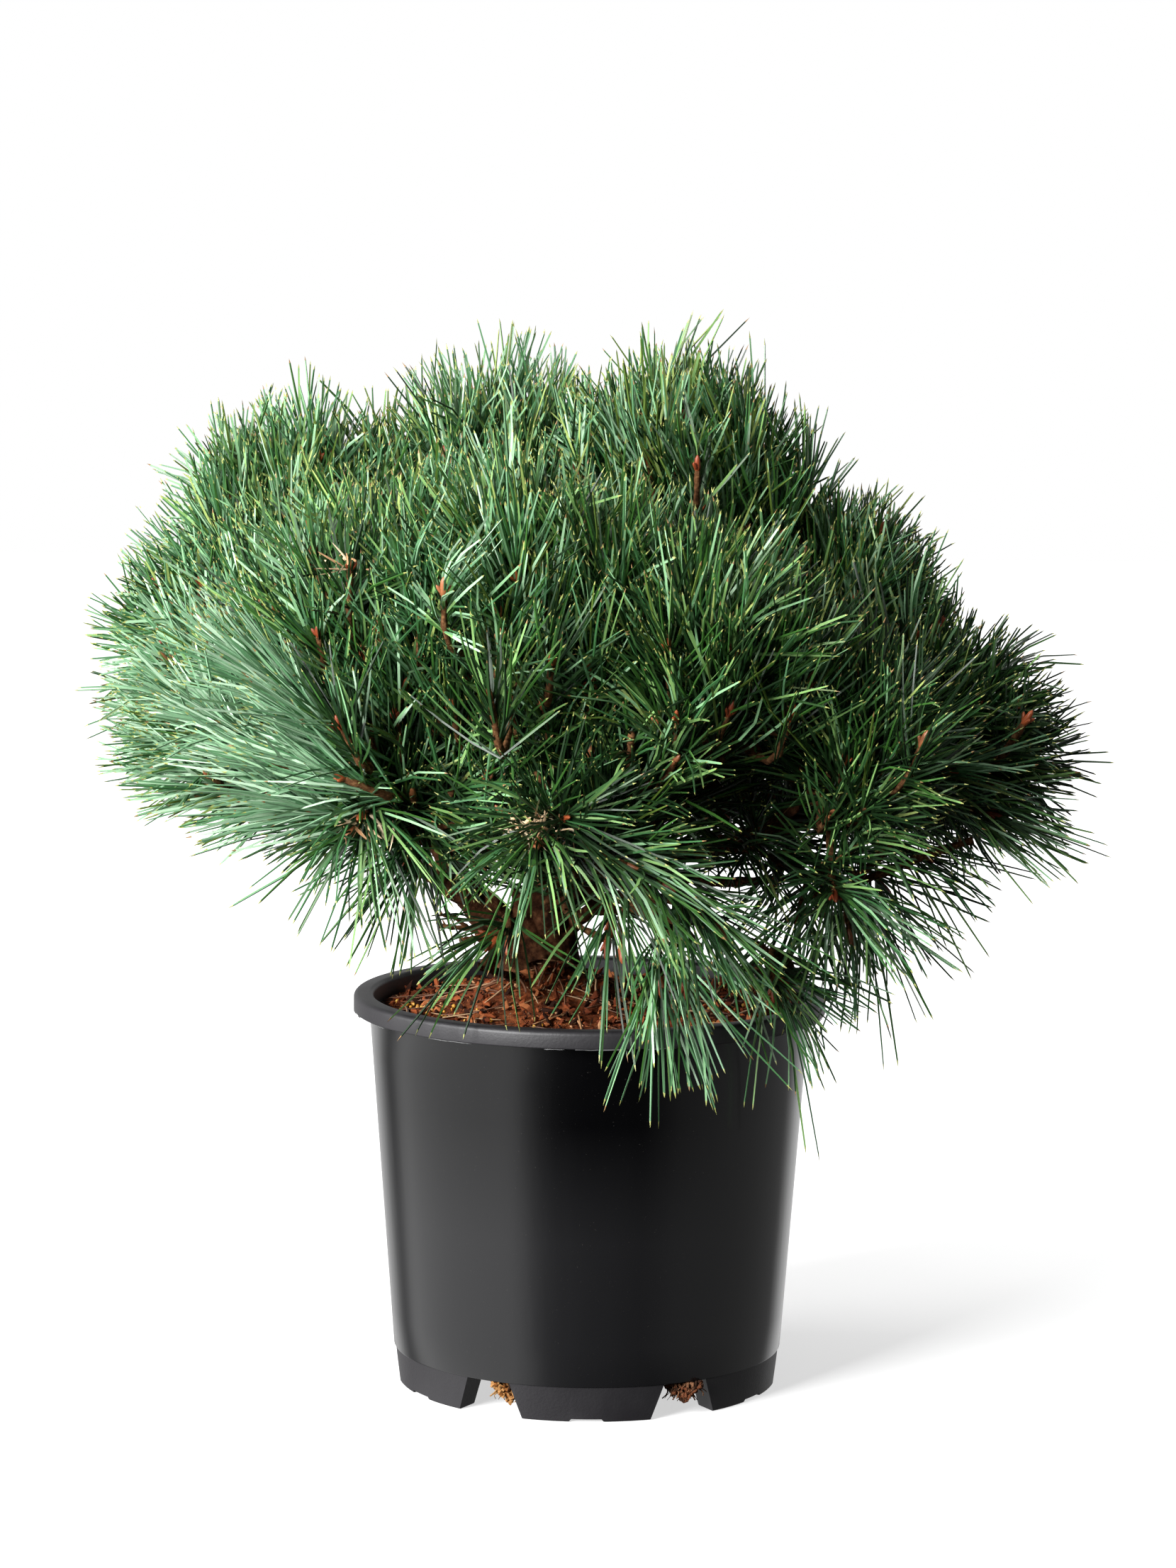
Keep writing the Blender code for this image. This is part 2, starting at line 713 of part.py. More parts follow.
def core_of(mass, space):
    """The dense heart of a mass: a lumpy ball that draws in where a wall of the cell or a limb is near."""
    chance = random.Random(mass.name + " core")
    bm = bmesh.new()
    bmesh.ops.create_icosphere(bm, subdivisions=2, radius=mass.reach * CORE_SHARE)
    for vert in bm.verts:
        vert.co *= chance.uniform(1 - CORE_LUMPS, 1 + CORE_LUMPS)

    def clear(offset):
        point = space.centre + offset
        own_bough = (mass.name + "_bough",)
        return space.depth(point) > CORE_ROOM and space.clear_of_limbs(point, point, CORE_ROOM, own_bough)

    if not clear(Vector((0, 0, 0))):
        bm.free()
        return None
    for attempt in range(CORE_ATTEMPTS):
        tight = set()
        for face in bm.faces:
            corners = [vert.co for vert in face.verts]
            middle = sum(corners, Vector()) / 3
            samples = [middle, *corners, *((a + b) / 2 for a, b in zip(corners, corners[1:] + corners[:1]))]
            if not all(clear(sample) for sample in samples):
                tight.update(face.verts)
        for vert in tight:
            vert.co *= CORE_SHRINK
    bmesh.ops.translate(bm, verts=bm.verts, vec=space.centre)
    return bm


def close_facet(bm, loop):
    """Closes a facet of a shoot, a twisted four-sided one across its short diagonal."""
    if len(loop) == 3:
        bm.faces.new(loop)
    else:
        bm.faces.new((loop[0], loop[1], loop[3]))
        bm.faces.new((loop[1], loop[2], loop[3]))


def spray(fork, foot, bud, bare_rows, space, kept, chance):
    """One twig with its shoot: a slim core whose facets are drawn out into needles where there is room."""
    way = (bud - foot).normalized()
    stations = [(fork, TWIG_RADIUS), (foot, TWIG_RADIUS)]
    for row in range(NEEDLE_ROWS):
        share = (row + 1) / NEEDLE_ROWS
        stations.append((foot.lerp(bud, share), SHOOT_RADIUS * (1 - SHOOT_TAPER * share)))
    side, other = across(way)
    phase = chance.uniform(0, math.tau)
    bm = bmesh.new()
    rings = []
    for index, (point, radius) in enumerate(stations):
        ring = []
        twist = phase + max(index - 1, 0) * math.pi / TWIG_SIDES
        for corner in range(TWIG_SIDES):
            turn = twist + corner * math.tau / TWIG_SIDES
            ring.append(bm.verts.new(point + (side * math.cos(turn) + other * math.sin(turn)) * radius))
        rings.append(ring)
    bm.faces.new(rings[0])
    own = []
    facets = []
    for row, (low, high) in enumerate(zip(rings, rings[1:])):
        for corner in range(TWIG_SIDES):
            after = (corner + 1) % TWIG_SIDES
            loop = (low[corner], low[after], high[after], high[corner])
            if row < bare_rows:
                close_facet(bm, loop)
            else:
                facets.append((loop, (row - 0.5) / NEEDLE_ROWS))
    facets.append((tuple(rings[-1]), 1.0))
    for loop, share in facets:
        root = sum((vert.co for vert in loop), Vector()) / len(loop)
        out = root - foot - way * (root - foot).dot(way)
        if share == 1.0:
            heading_out = way
        else:
            angle = NEEDLE_ANGLE_LOW + (NEEDLE_ANGLE_HIGH - NEEDLE_ANGLE_LOW) * share
            heading_out = way * math.cos(angle) + out.normalized() * math.sin(angle)
        start = root + heading_out * NEEDLE_START
        tip = None
        for scale in NEEDLE_SCALES:
            end = root + heading_out * NEEDLE_LENGTH * scale * chance.uniform(NEEDLE_SHORTEST, 1)
            fits = (end - space.centre).length < space.mass.reach and space.holds(start, end, NEEDLE_ROOT)
            if fits and all(apart(start, end, a, b) > NEEDLE_ROOT + radius for a, b, radius in kept):
                tip = end
                break
        if tip is None:
            close_facet(bm, loop)
            continue
        own.append((start, tip, NEEDLE_TIP_ROOM))
        point = bm.verts.new(tip)
        for corner in range(len(loop)):
            bm.faces.new((loop[corner], loop[(corner + 1) % len(loop)], point))
    kept.extend(own)
    return bm


def make_mass(mass, paths, look):
    """A stem from the bough's tip, twigs that leave it in turn, and a shoot with needles on each twig."""
    space = Space(mass, paths)
    start, whorl = stem_of(mass)
    stem_radius = mass.radius if mass.name in STALKLESS else paths[mass.name + "_bough"][1][-1]
    chance = random.Random(mass.name + " needles")
    middle = start.lerp(whorl, 0.5)
    pieces = [tube([start, middle, whorl], [stem_radius, stem_radius * STALK_TAPER, STALK_TIP], STALK_SIDES)]
    core = core_of(mass, space) if mass.name not in OPEN_MASSES else None
    if core:
        pieces.append(core)
    kept = []
    twigs = []
    for foot, bud in shoots_of(mass, space):
        fork = start.lerp(whorl, chance.uniform(*FORKS))
        clear = all(apart(foot, bud, a, b) > SHOOT_ROOM + radius for a, b, radius in kept)
        if clear and space.holds(fork.lerp(foot, TWIG_START), foot, TWIG_RADIUS):
            twigs.append((fork, foot, bud))
            kept.append((foot, bud, SHOOT_RADIUS))
    for index, (fork, foot, bud) in enumerate(twigs):
        others = [rod for rod in kept if rod[1] != bud]
        before = len(others)
        pieces.append(spray(fork, foot, bud, 2 if core else 1, space, others, chance))
        kept.extend(others[before:])
    return fuse(mass.name, pieces, look, solver="MANIFOLD")


def main():
    clear_scene()
    bark = material("grey_brown_bark", GREY_BROWN_BARK)
    needles = material("blue_green_needle", BLUE_GREEN_NEEDLE)
    make_pot(material("black_plastic", BLACK_PLASTIC))
    make_soil(material("potting_soil", POTTING_SOIL))
    paths = limb_paths()
    trunk, trunk_cutter = make_trunk(bark)
    make_boughs(paths, trunk_cutter, bark)
    for mass in MASSES:
        make_mass(mass, paths, needles)


main()
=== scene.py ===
"""Looks for the potted dwarf blue Scots pine, in metres, +Z up, with -Y as the side seen first.

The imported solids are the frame. The pot, soil, bark, twigs, buds and needles made here stand for them.
"""
import json
import math
import random
from collections import namedtuple

import bpy
import numpy as np
from mathutils import Matrix, Vector

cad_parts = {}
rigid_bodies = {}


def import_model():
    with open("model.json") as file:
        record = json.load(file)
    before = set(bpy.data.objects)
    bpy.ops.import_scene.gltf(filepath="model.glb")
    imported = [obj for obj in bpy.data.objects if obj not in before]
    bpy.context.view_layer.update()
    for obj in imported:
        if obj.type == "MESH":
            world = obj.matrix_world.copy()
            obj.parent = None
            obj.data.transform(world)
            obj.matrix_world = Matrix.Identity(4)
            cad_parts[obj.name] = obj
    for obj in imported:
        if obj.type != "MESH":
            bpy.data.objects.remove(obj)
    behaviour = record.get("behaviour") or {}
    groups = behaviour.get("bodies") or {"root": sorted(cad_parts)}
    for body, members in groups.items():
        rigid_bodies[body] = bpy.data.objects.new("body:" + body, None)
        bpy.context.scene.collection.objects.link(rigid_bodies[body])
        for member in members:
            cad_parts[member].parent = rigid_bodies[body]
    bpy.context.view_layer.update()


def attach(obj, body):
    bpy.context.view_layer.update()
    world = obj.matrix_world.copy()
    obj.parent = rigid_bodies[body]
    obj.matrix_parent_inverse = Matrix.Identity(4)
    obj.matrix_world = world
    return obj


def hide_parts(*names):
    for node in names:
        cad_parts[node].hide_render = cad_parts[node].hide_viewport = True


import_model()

GAP = 0.0003
UP = Vector((0, 0, 1))
GOLDEN_ANGLE = math.pi * (3 - math.sqrt(5))

# The bright side of the studio as the glossy wall sees it: its way, and greys by the closeness to that way,
# from 0 for the opposite way to 1
GLOW_WAY = (-0.93, -0.15, -0.33)
GLOW = [(0.000, 0.34), (0.125, 0.28), (0.260, 0.18), (0.320, 0.10), (0.400, 0.02), (0.670, 0.02),
        (0.750, 0.06), (0.800, 0.15), (0.840, 0.35), (0.880, 0.90), (0.915, 1.20), (1.000, 1.18)]

# The lamps: name, place, what each is aimed at, width and height, power
LAMPS = [
    ("key_light", (-1.55, -1.85, 1.05), (0, 0, 0.36), (1.0, 1.3), 165),
    ("left_light", (-2.3, -0.3, 0.9), (0, 0, 0.36), (1.2, 1.4), 34),
    ("top_light", (-0.2, 0.2, 2.4), (0, 0, 0.3), (1.4, 1.4), 14),
]

# Camera, from the pot's outline in the photograph
PHOTO_WIDTH, PHOTO_HEIGHT = 1659, 2212
CAMERA_PLACE = (0.0, -2.7, 0.67975)
CAMERA_DIP = 0.11914
CAMERA_ROLL = 0.00813
FOCAL_PIXELS = 6492.66
MIDDLE_PIXEL = 834.36
SENSOR = 36.0

# Finishes: the shader's specular level of a glossy and of a matt surface, and the roughness that parts them
GLOSSY_LEVEL, MATT_LEVEL, MATT_FROM = 0.5, 0.10, 0.85
# The glossy wall's painted reflection of the pale floor: a greyer colour, full below one height and gone
# above another
PAINTED_FLOOR_REFLECTION = (0.0085, 0.0085, 0.0092)
FLOOR_REFLECTION_FULL_BELOW, FLOOR_REFLECTION_NONE_ABOVE = 0.105, 0.175

# Pot
POT_HEIGHT = 0.2325
POT_STEPS = 168
RIM_RADIUS = 0.140
RIM_HEIGHT = 0.0104
RIM_ROUND = 0.0028
RIM_FOOT = POT_HEIGHT - RIM_HEIGHT
RIM_LIP_ROUND = 0.0009
WALL_TOP_RADIUS = 0.1305
WALL_FOOT_RADIUS = 0.1155
WALL = 0.0022
WALL_INSIDE = WALL_TOP_RADIUS - WALL
WALL_LEVELS = 9
FOOT_HEIGHT = 0.0206
FOOT_TOP_RADIUS = 0.1146
FOOT_BOTTOM_RADIUS = 0.1128
FOOT_DEPTH = 0.016
FOOT_INSIDE = FOOT_BOTTOM_RADIUS - FOOT_DEPTH
FOOT_EDGE_ROUND = 0.0008
FOOT_COUNT = 6
NOTCH_HALF_TOP = 0.014
NOTCH_HALF_BOTTOM = 0.0215
DRAIN_LENGTH = 0.020
DRAIN_WIDTH = 0.012
TOE_RECESS_HALF = 0.011
TOE_RECESS_HEIGHT = 0.0016
CUTTER_MARGIN = 0.004
FLASH_STATIONS = 8
FLASH_SPANS, FLASH_GAPS = (0.05, 0.22), (0.01, 0.08)
FLASH_CHANCE = 0.6

# Soil; its lumps are (size, strength), and a pair in brackets is the least and the most of a size
SOIL_EDGE_HEIGHT = 0.2215
SOIL_TOP = 0.2275
SOIL_LUMPS = ((0.016, 0.0042), (0.0045, 0.0048))
TRUNK_RISE_RADIUS = 0.06
ROOT_MOUND = 0.027
ROOT_MOUND_RADIUS = 0.072
ROOT_MOUND_CENTRE = (-0.022, -0.018)
SOIL_RINGS = 34
SOIL_STEPS = 144
CRUMB_COUNT = 3200
CRUMB_SMALLEST, CRUMB_GROWTH, CRUMB_RARITY = 0.0011, 0.0052, 3.2
FEED_COUNT = 90
FALLEN_COUNT = 45
FIBRE_COUNT = 70
FIBRE_SHARE = 0.55
FEED_SIZES = (0.0017, 0.0026)
FALLEN_LENGTHS, FALLEN_WIDTHS = (0.030, 0.056), (0.0010, 0.0018)
CLEAR_OF_WALL, CLEAR_OF_TRUNK = 0.004, 0.018

# Where the feed beads lie: middle, spread, share of them
FEED_CLUSTERS = [
    ((-0.104, -0.010), 0.012, 0.34),
    ((-0.092, -0.034), 0.010, 0.16),
    ((-0.060, -0.060), 0.016, 0.14),
    ((-0.040, -0.095), 0.014, 0.10),
    ((0.050, 0.080), 0.020, 0.14),
    ((0.085, -0.020), 0.018, 0.12),
]

# What fills the two front notches: middle, half width, and whether it is ochre (0) or darker (1), then the
# number of root threads and bark lumps, how far the threads hang, and the sizes of both
NOTCH_SPOTS = [((-0.044, -0.098), 0.012, 0), ((0.056, -0.095), 0.012, 1)]
NOTCH_ROOTS = 60
NOTCH_LUMPS = 240
NOTCH_STATIONS = 7
NOTCH_DROPS = (0.003, 0.012)
NOTCH_ROOT_RADII = (0.00025, 0.0009)
NOTCH_LUMP_SIZES = (0.0016, 0.0042)

# Plain colours dealt out over small things
CRUMB_BROWNS = [(0.020, 0.007, 0.004), (0.110, 0.026, 0.010), (0.230, 0.058, 0.019), (0.330, 0.110, 0.040),
                (0.440, 0.230, 0.115)]
FEED_GOLDS = [(0.46, 0.22, 0.025), (0.55, 0.31, 0.05), (0.32, 0.13, 0.018)]
FALLEN_TANS = [(0.30, 0.150, 0.065), (0.48, 0.30, 0.16), (0.13, 0.048, 0.019)]
BUD_REDS = [(0.250, 0.048, 0.015), (0.360, 0.082, 0.024), (0.300, 0.105, 0.040)]
SCALE_TANS = [(0.62, 0.43, 0.25), (0.46, 0.25, 0.12), (0.74, 0.58, 0.38)]

# What the notches' roots and lumps look like: name, colour, roughness
NOTCH_ROOT_LOOKS = [
    ("ochre_root", (0.290, 0.150, 0.052), 0.85),
    ("brown_root", (0.150, 0.070, 0.035), 0.85),
    ("peat_root", (0.060, 0.030, 0.016), 0.9),
]
NOTCH_BARK_LOOKS = [
    ("ochre_bark", (0.340, 0.170, 0.060), 0.85),
    ("rust_bark", (0.230, 0.085, 0.022), 0.85),
    ("dark_bark", (0.105, 0.036, 0.016), 0.85),
    ("peat", (0.030, 0.014, 0.008), 0.9),
]

# Trunk and boughs; a relief is (size, strength, kind of texture)
TRUNK_FOOT = Vector((-0.027, -0.004, SOIL_TOP + GAP))
HEART = Vector((-0.012, 0.0, 0.255))
BOUGH_STATIONS = 14
STEM_FOOT, STEM_END = 0.60, 0.12
TRUNK_VOXEL = 0.0010
TRUNK_RELIEF = [(0.010, 0.0030, "CLOUDS"), (0.0035, 0.0016, "CLOUDS"), (0.0060, 0.0014, "VORONOI")]
BOUGH_VOXEL = 0.0017
BOUGH_RELIEF = [(0.006, 0.0016, "CLOUDS"), (0.0025, 0.0010, "CLOUDS")]

# What is set on the trunk, from its foot: roots round it, with stations of ((out, up), radius), the limb in
# its crotch, and knobs where old branches were cut, as (place, way, radius)
ROOT_COUNT = 5
ROOT_STATIONS = [((0.000, 0.020), 0.0075), ((0.004, 0.010), 0.0085), ((0.013, 0.003), 0.0065),
                 ((0.021, -0.003), 0.0035)]
CROTCH = [((-0.003, 0.000, 0.024), 0.0130), ((-0.010, 0.003, 0.045), 0.0105),
          ((-0.013, 0.006, 0.066), 0.0060)]
KNOBS = [
    ((0.006, -0.012, 0.050), (0.2, -0.9, 0.3), 0.0075),
    ((0.012, -0.006, 0.062), (0.7, -0.6, 0.3), 0.0068),
    ((-0.024, -0.008, 0.040), (-0.3, -0.9, 0.2), 0.0055),
    ((-0.006, 0.010, 0.058), (-0.2, 0.9, 0.2), 0.0070),
    ((-0.038, -0.002, 0.056), (-0.7, -0.5, 0.4), 0.0050),
]

# Shoots and needles
SHOOT_SPACING = 0.030
SHOOT_SHARE = 0.62
SHORTEST_SHOOT = 0.030
VALLEY_SHOOT = 0.034
DIP_SHOOT = 0.036
CELL = 0.011
CAP_DEPTH, VALLEY_DEPTH, ANY_DEPTH = -0.006, -0.020, -0.500
BUD_DEPTH = 0.052
CAP_ANGLE = math.radians(124)
INNER_SHARE = 0.62
INNER_SPACING = 0.040
TWIG_RADIUS = 0.0021
TWIG_STATIONS = 9
TWIG_SIDES = 6
TWIG_KNOTS = (0.92, 1.16)
NEEDLE_LENGTH = 0.066
NEEDLE_SHORTEST = 0.42
NEEDLE_WIDTH = 0.0016
NEEDLE_THICKNESS = 0.0009
NEEDLE_RINGS = [(0.0, 0.72), (0.33, 1.0), (0.66, 0.98), (0.965, 0.66)]
NEEDLE_ROUGHNESS = 0.46
NEEDLE_GLOSS = 0.45
BROWN_TIPS = 0.14
SPILL = -0.004
SPILL_SOFTNESS = 0.050
UPRIGHT_LIFT = 0.55
VALLEY_TURNS = 9
SIDE_SHOOTS = 5
SIDE_ANGLES, SIDE_LENGTHS = (38, 66), (0.026, 0.040)
VALLEY_REACH, BELOW_VALLEY = 1.55, 0.046

# The ranks of shoots: a listed upright shoot, a listed spray, the skin of a mass, and deeper in
CANDLE_RANK, FREE_RANK, SKIN_RANK, INNER_RANK = -2, -1, 0, 1

Mass = namedtuple("Mass", "name centre reach rise parent along radius")

# The source's masses: middle, reach, rise of the shoots, and the bough's parent limb, place along it, radius
MASSES = [
    Mass("crest", (0.056, 0.020, 0.521), 0.111, 0.6, "right_stem", 0.97, 0.0088),
    Mass("left_shoulder", (-0.168, 0.025, 0.493), 0.108, 0.5, "left_stem", 0.97, 0.0078),
    Mass("right_shoulder", (0.145, 0.020, 0.458), 0.100, 0.4, "right_stem", 0.80, 0.0080),
    Mass("right_side", (0.206, -0.028, 0.383), 0.100, 0.0, "right_stem", 0.62, 0.0078),
    Mass("left_low", (-0.202, -0.085, 0.400), 0.099, 0.1, "left_stem", 0.66, 0.0072),
    Mass("back_mound", (-0.030, 0.142, 0.450), 0.106, 0.3, "right_stem", 0.70, 0.0074),
    Mass("front_mound", (-0.042, -0.135, 0.470), 0.107, 0.4, "right_stem", 0.84, 0.0072),
    Mass("low_centre", (-0.005, -0.158, 0.357), 0.094, 0.2, "right_stem", 0.55, 0.0052),
    Mass("droop_front", (0.068, -0.142, 0.275), 0.098, -0.5, "right_stem", 0.42, 0.0050),
    Mass("upper_left", (-0.054, 0.040, 0.515), 0.108, 0.5, "crest_bough", 0.42, 0.0052),
    Mass("front_right", (0.056, -0.145, 0.440), 0.104, 0.3, "front_mound_bough", 0.36, 0.0050),
    Mass("front_left", (-0.128, -0.112, 0.452), 0.101, 0.3, "front_mound_bough", 0.50, 0.0048),
    Mass("left_side", (-0.212, 0.000, 0.444), 0.100, 0.2, "left_shoulder_bough", 0.46, 0.0048),
    Mass("low_left", (-0.096, -0.122, 0.358), 0.088, 0.0, "left_low_bough", 0.34, 0.0042),
    Mass("back_left", (-0.146, 0.115, 0.437), 0.103, 0.3, "left_shoulder_bough", 0.28, 0.0052),
    Mass("left_back_low", (-0.186, 0.088, 0.366), 0.090, 0.1, "back_left_bough", 0.40, 0.0038),
    Mass("back_right", (0.088, 0.132, 0.437), 0.102, 0.3, "right_shoulder_bough", 0.34, 0.0052),
    Mass("back_low", (-0.078, 0.155, 0.350), 0.092, 0.0, "back_mound_bough", 0.40, 0.0048),
    Mass("back_low_right", (0.062, 0.155, 0.342), 0.092, 0.0, "back_mound_bough", 0.26, 0.0046),
    Mass("right_back", (0.187, 0.085, 0.372), 0.097, 0.1, "right_side_bough", 0.36, 0.0052),
    Mass("right_front", (0.142, -0.118, 0.385), 0.096, 0.2, "right_side_bough", 0.48, 0.0048),
    Mass("low_right", (0.148, -0.058, 0.312), 0.082, -0.2, "right_side_bough", 0.20, 0.0046),
    Mass("rim_right", (0.130, -0.104, 0.252), 0.074, -0.5, "droop_front_bough", 0.34, 0.0034),
    Mass("foot_left", (-0.068, -0.086, 0.258), 0.064, -0.3, "left_stem", 0.16, 0.0030),
]
TIP_RADIUS = {"crest": 0.0056}
STALKLESS = ("foot_left",)

# How the needles of a shoot stand: how many pairs, their angles off the shoot at its foot and at its bud,
# their length, how much they sag or lift towards the tip, and whether they follow their mass's lift and sweep
Habit = namedtuple("Habit", "pairs foot_angle bud_angle length sag follows")
RISING = Habit(19, 60, 15, NEEDLE_LENGTH, 0.06, True)
LEVEL = Habit(19, 62, 17, NEEDLE_LENGTH, -0.10, True)
STAR = Habit(40, 92, 30, 0.063, -0.16, False)
HANGING = Habit(26, 50, 10, 0.067, -0.26, False)
SPARSE = Habit(15, 70, 16, 0.062, -0.16, False)
WISP = Habit(11, 62, 14, 0.067, -0.34, False)
TUFT = Habit(13, 62, 14, 0.058, -0.42, False)
CANDLE = Habit(22, 64, 25, 0.058, 0.06, True)
SWEPT = Habit(44, 76, 16, 0.070, -0.06, True)

Shoot = namedtuple("Shoot", "foot bud rank habit")

# What was set one by one from the photo, for each mass: habit, bud, the way it points, the shoot's length.
# These are the free sprays of the open lower side, the swept ones at the left, and candles with red buds.
SPRAYS = {
    "low_centre": [
        (STAR, (-0.029, -0.205, 0.351), (-0.05, -0.80, -0.45), 0.026),
        (STAR, (-0.014, -0.200, 0.362), (0.25, -0.80, 0.10), 0.026),
    ],
    "left_low": [
        (SWEPT, (-0.142, -0.180, 0.406), (-0.62, -0.40, 0.62), 0.044),
        (SWEPT, (-0.136, -0.184, 0.380), (-0.75, -0.45, 0.35), 0.044),
        (SWEPT, (-0.166, -0.172, 0.428), (-0.70, -0.35, 0.60), 0.044),
        (SWEPT, (-0.172, -0.170, 0.386), (-0.85, -0.35, 0.25), 0.044),
        (SWEPT, (-0.204, -0.158, 0.408), (-0.85, -0.35, 0.35), 0.044),
        (SWEPT, (-0.156, -0.164, 0.360), (-0.88, -0.30, 0.18), 0.038),
    ],
    "low_left": [
        (STAR, (-0.126, -0.168, 0.359), (-0.30, -0.85, -0.20), 0.028),
        (WISP, (-0.132, -0.160, 0.350), (-0.62, -0.36, -0.68), 0.026),
        (WISP, (-0.104, -0.112, 0.325), (-0.48, -0.30, -0.82), 0.022),
        (WISP, (-0.100, -0.108, 0.323), (0.02, -0.30, -0.95), 0.022),
    ],
    "foot_left": [
        (TUFT, (-0.057, -0.096, 0.281), (-0.86, -0.26, -0.22), 0.020),
        (TUFT, (-0.053, -0.098, 0.279), (-0.60, -0.45, -0.55), 0.020),
        (TUFT, (-0.047, -0.100, 0.278), (-0.05, -0.42, -0.88), 0.018),
    ],
    "droop_front": [
        (WISP, (0.010, -0.096, 0.278), (-0.08, -0.40, -0.90), 0.026),
        (WISP, (0.018, -0.104, 0.276), (0.05, -0.40, -0.90), 0.026),
        (HANGING, (0.020, -0.200, 0.336), (0.82, -0.40, -0.30), 0.032),
        (SPARSE, (0.040, -0.202, 0.326), (0.75, -0.45, -0.45), 0.032),
        (HANGING, (0.058, -0.176, 0.308), (0.48, -0.40, -0.75), 0.032),
        (SPARSE, (0.070, -0.166, 0.298), (0.55, -0.35, -0.70), 0.030),
        (HANGING, (0.039, -0.166, 0.268), (0.06, -0.24, -0.96), 0.030),
        (WISP, (0.052, -0.160, 0.264), (0.30, -0.24, -0.90), 0.028),
        (WISP, (0.012, -0.150, 0.298), (-0.02, -0.45, -0.85), 0.030),
    ],
    "rim_right": [
        (SPARSE, (0.104, -0.120, 0.256), (0.08, -0.28, -0.95), 0.028),
        (SPARSE, (0.108, -0.116, 0.260), (0.90, -0.14, -0.28), 0.030),
        (WISP, (0.112, -0.112, 0.254), (0.60, -0.18, -0.75), 0.026),
    ],
    "low_right": [
        (STAR, (0.138, -0.125, 0.311), (0.05, -0.85, -0.40), 0.030),
        (SPARSE, (0.162, -0.090, 0.298), (0.45, -0.30, -0.70), 0.034),
        (SPARSE, (0.148, -0.100, 0.286), (0.15, -0.35, -0.88), 0.032),
        (SPARSE, (0.190, -0.060, 0.324), (0.72, -0.20, -0.34), 0.034),
        (SPARSE, (0.120, -0.070, 0.290), (-0.25, -0.50, -0.75), 0.030),
        (SPARSE, (0.108, -0.048, 0.309), (-0.20, -0.60, -0.50), 0.030),
        (SPARSE, (0.172, -0.020, 0.300), (0.50, 0.35, -0.55), 0.032),
        (SPARSE, (0.140, 0.000, 0.282), (0.15, 0.45, -0.85), 0.032),
    ],
    "crest": [
        (CANDLE, (0.059, -0.068, 0.546), (0.00, -0.35, 0.95), 0.034),
    ],
    "left_shoulder": [
        (CANDLE, (-0.162, -0.062, 0.510), (-0.05, -0.40, 0.90), 0.030),
    ],
    "left_side": [
        (CANDLE, (-0.212, -0.074, 0.446), (0.10, -0.35, 0.94), 0.032),
    ],
    "front_left": [
        (CANDLE, (-0.137, -0.186, 0.408), (-0.42, -0.30, 0.88), 0.034),
        (CANDLE, (-0.134, -0.166, 0.494), (0.05, -0.40, 0.90), 0.030),
    ],
    "front_mound": [
        (CANDLE, (-0.055, -0.219, 0.428), (-0.16, -0.30, 0.95), 0.040),
        (CANDLE, (-0.022, -0.200, 0.446), (0.10, -0.35, 0.92), 0.034),
        (CANDLE, (-0.081, -0.205, 0.484), (0.00, -0.40, 0.90), 0.030),
    ],
    "right_front": [
        (CANDLE, (0.182, -0.174, 0.400), (0.30, -0.40, 0.85), 0.032),
    ],
    "right_side": [
        (CANDLE, (0.246, -0.092, 0.404), (0.45, -0.35, 0.80), 0.032),
        (HANGING, (0.228, -0.072, 0.350), (0.80, -0.30, -0.12), 0.036),
    ],
}
HAND_SET = ("foot_left", "droop_front", "rim_right", "low_right")
SPRAY_ROOM = 0.026
CANDLE_ROOM = 0.013

# The height under which only a few of a mass's needles hang, so that the trunk, bough and soil below it show
OPEN_BELOW = {"low_left": 0.306, "low_centre": 0.312, "left_low": 0.318, "back_low": 0.285,
              "back_low_right": 0.285, "right_side": 0.300, "right_back": 0.300}
HANGING_SHARE = 0.07

# Shoots in the dip between the upper tier and the front one: mass, both ends of the line of buds, how many
DIPS = [
    ("left_shoulder", (-0.180, -0.050, 0.440), (-0.100, -0.050, 0.462), 6),
    ("upper_left", (-0.100, -0.052, 0.466), (-0.005, -0.060, 0.482), 9),
    ("crest", (0.000, -0.060, 0.482), (0.090, -0.060, 0.472), 9),
    ("right_shoulder", (0.090, -0.058, 0.462), (0.170, -0.060, 0.420), 8),
]

# Where tufts of old dry bud scales sit, and how many of them
OLD_SCALES = [
    ((-0.033, -0.207, 0.357), 44), ((-0.018, -0.203, 0.353), 30), ((-0.136, -0.172, 0.497), 15),
    ((-0.125, -0.170, 0.356), 20),
]
SCALE_LENGTHS, SCALE_WIDTHS = (0.0025, 0.0060), (0.0010, 0.0022)

# Buds: lengths of the main ones, and how far out and how wide the small ones round them are
BUD_LENGTHS = (0.009, 0.014)
SIDE_BUD_OUT, SIDE_BUD_WIDTH = 0.0035, 0.0030

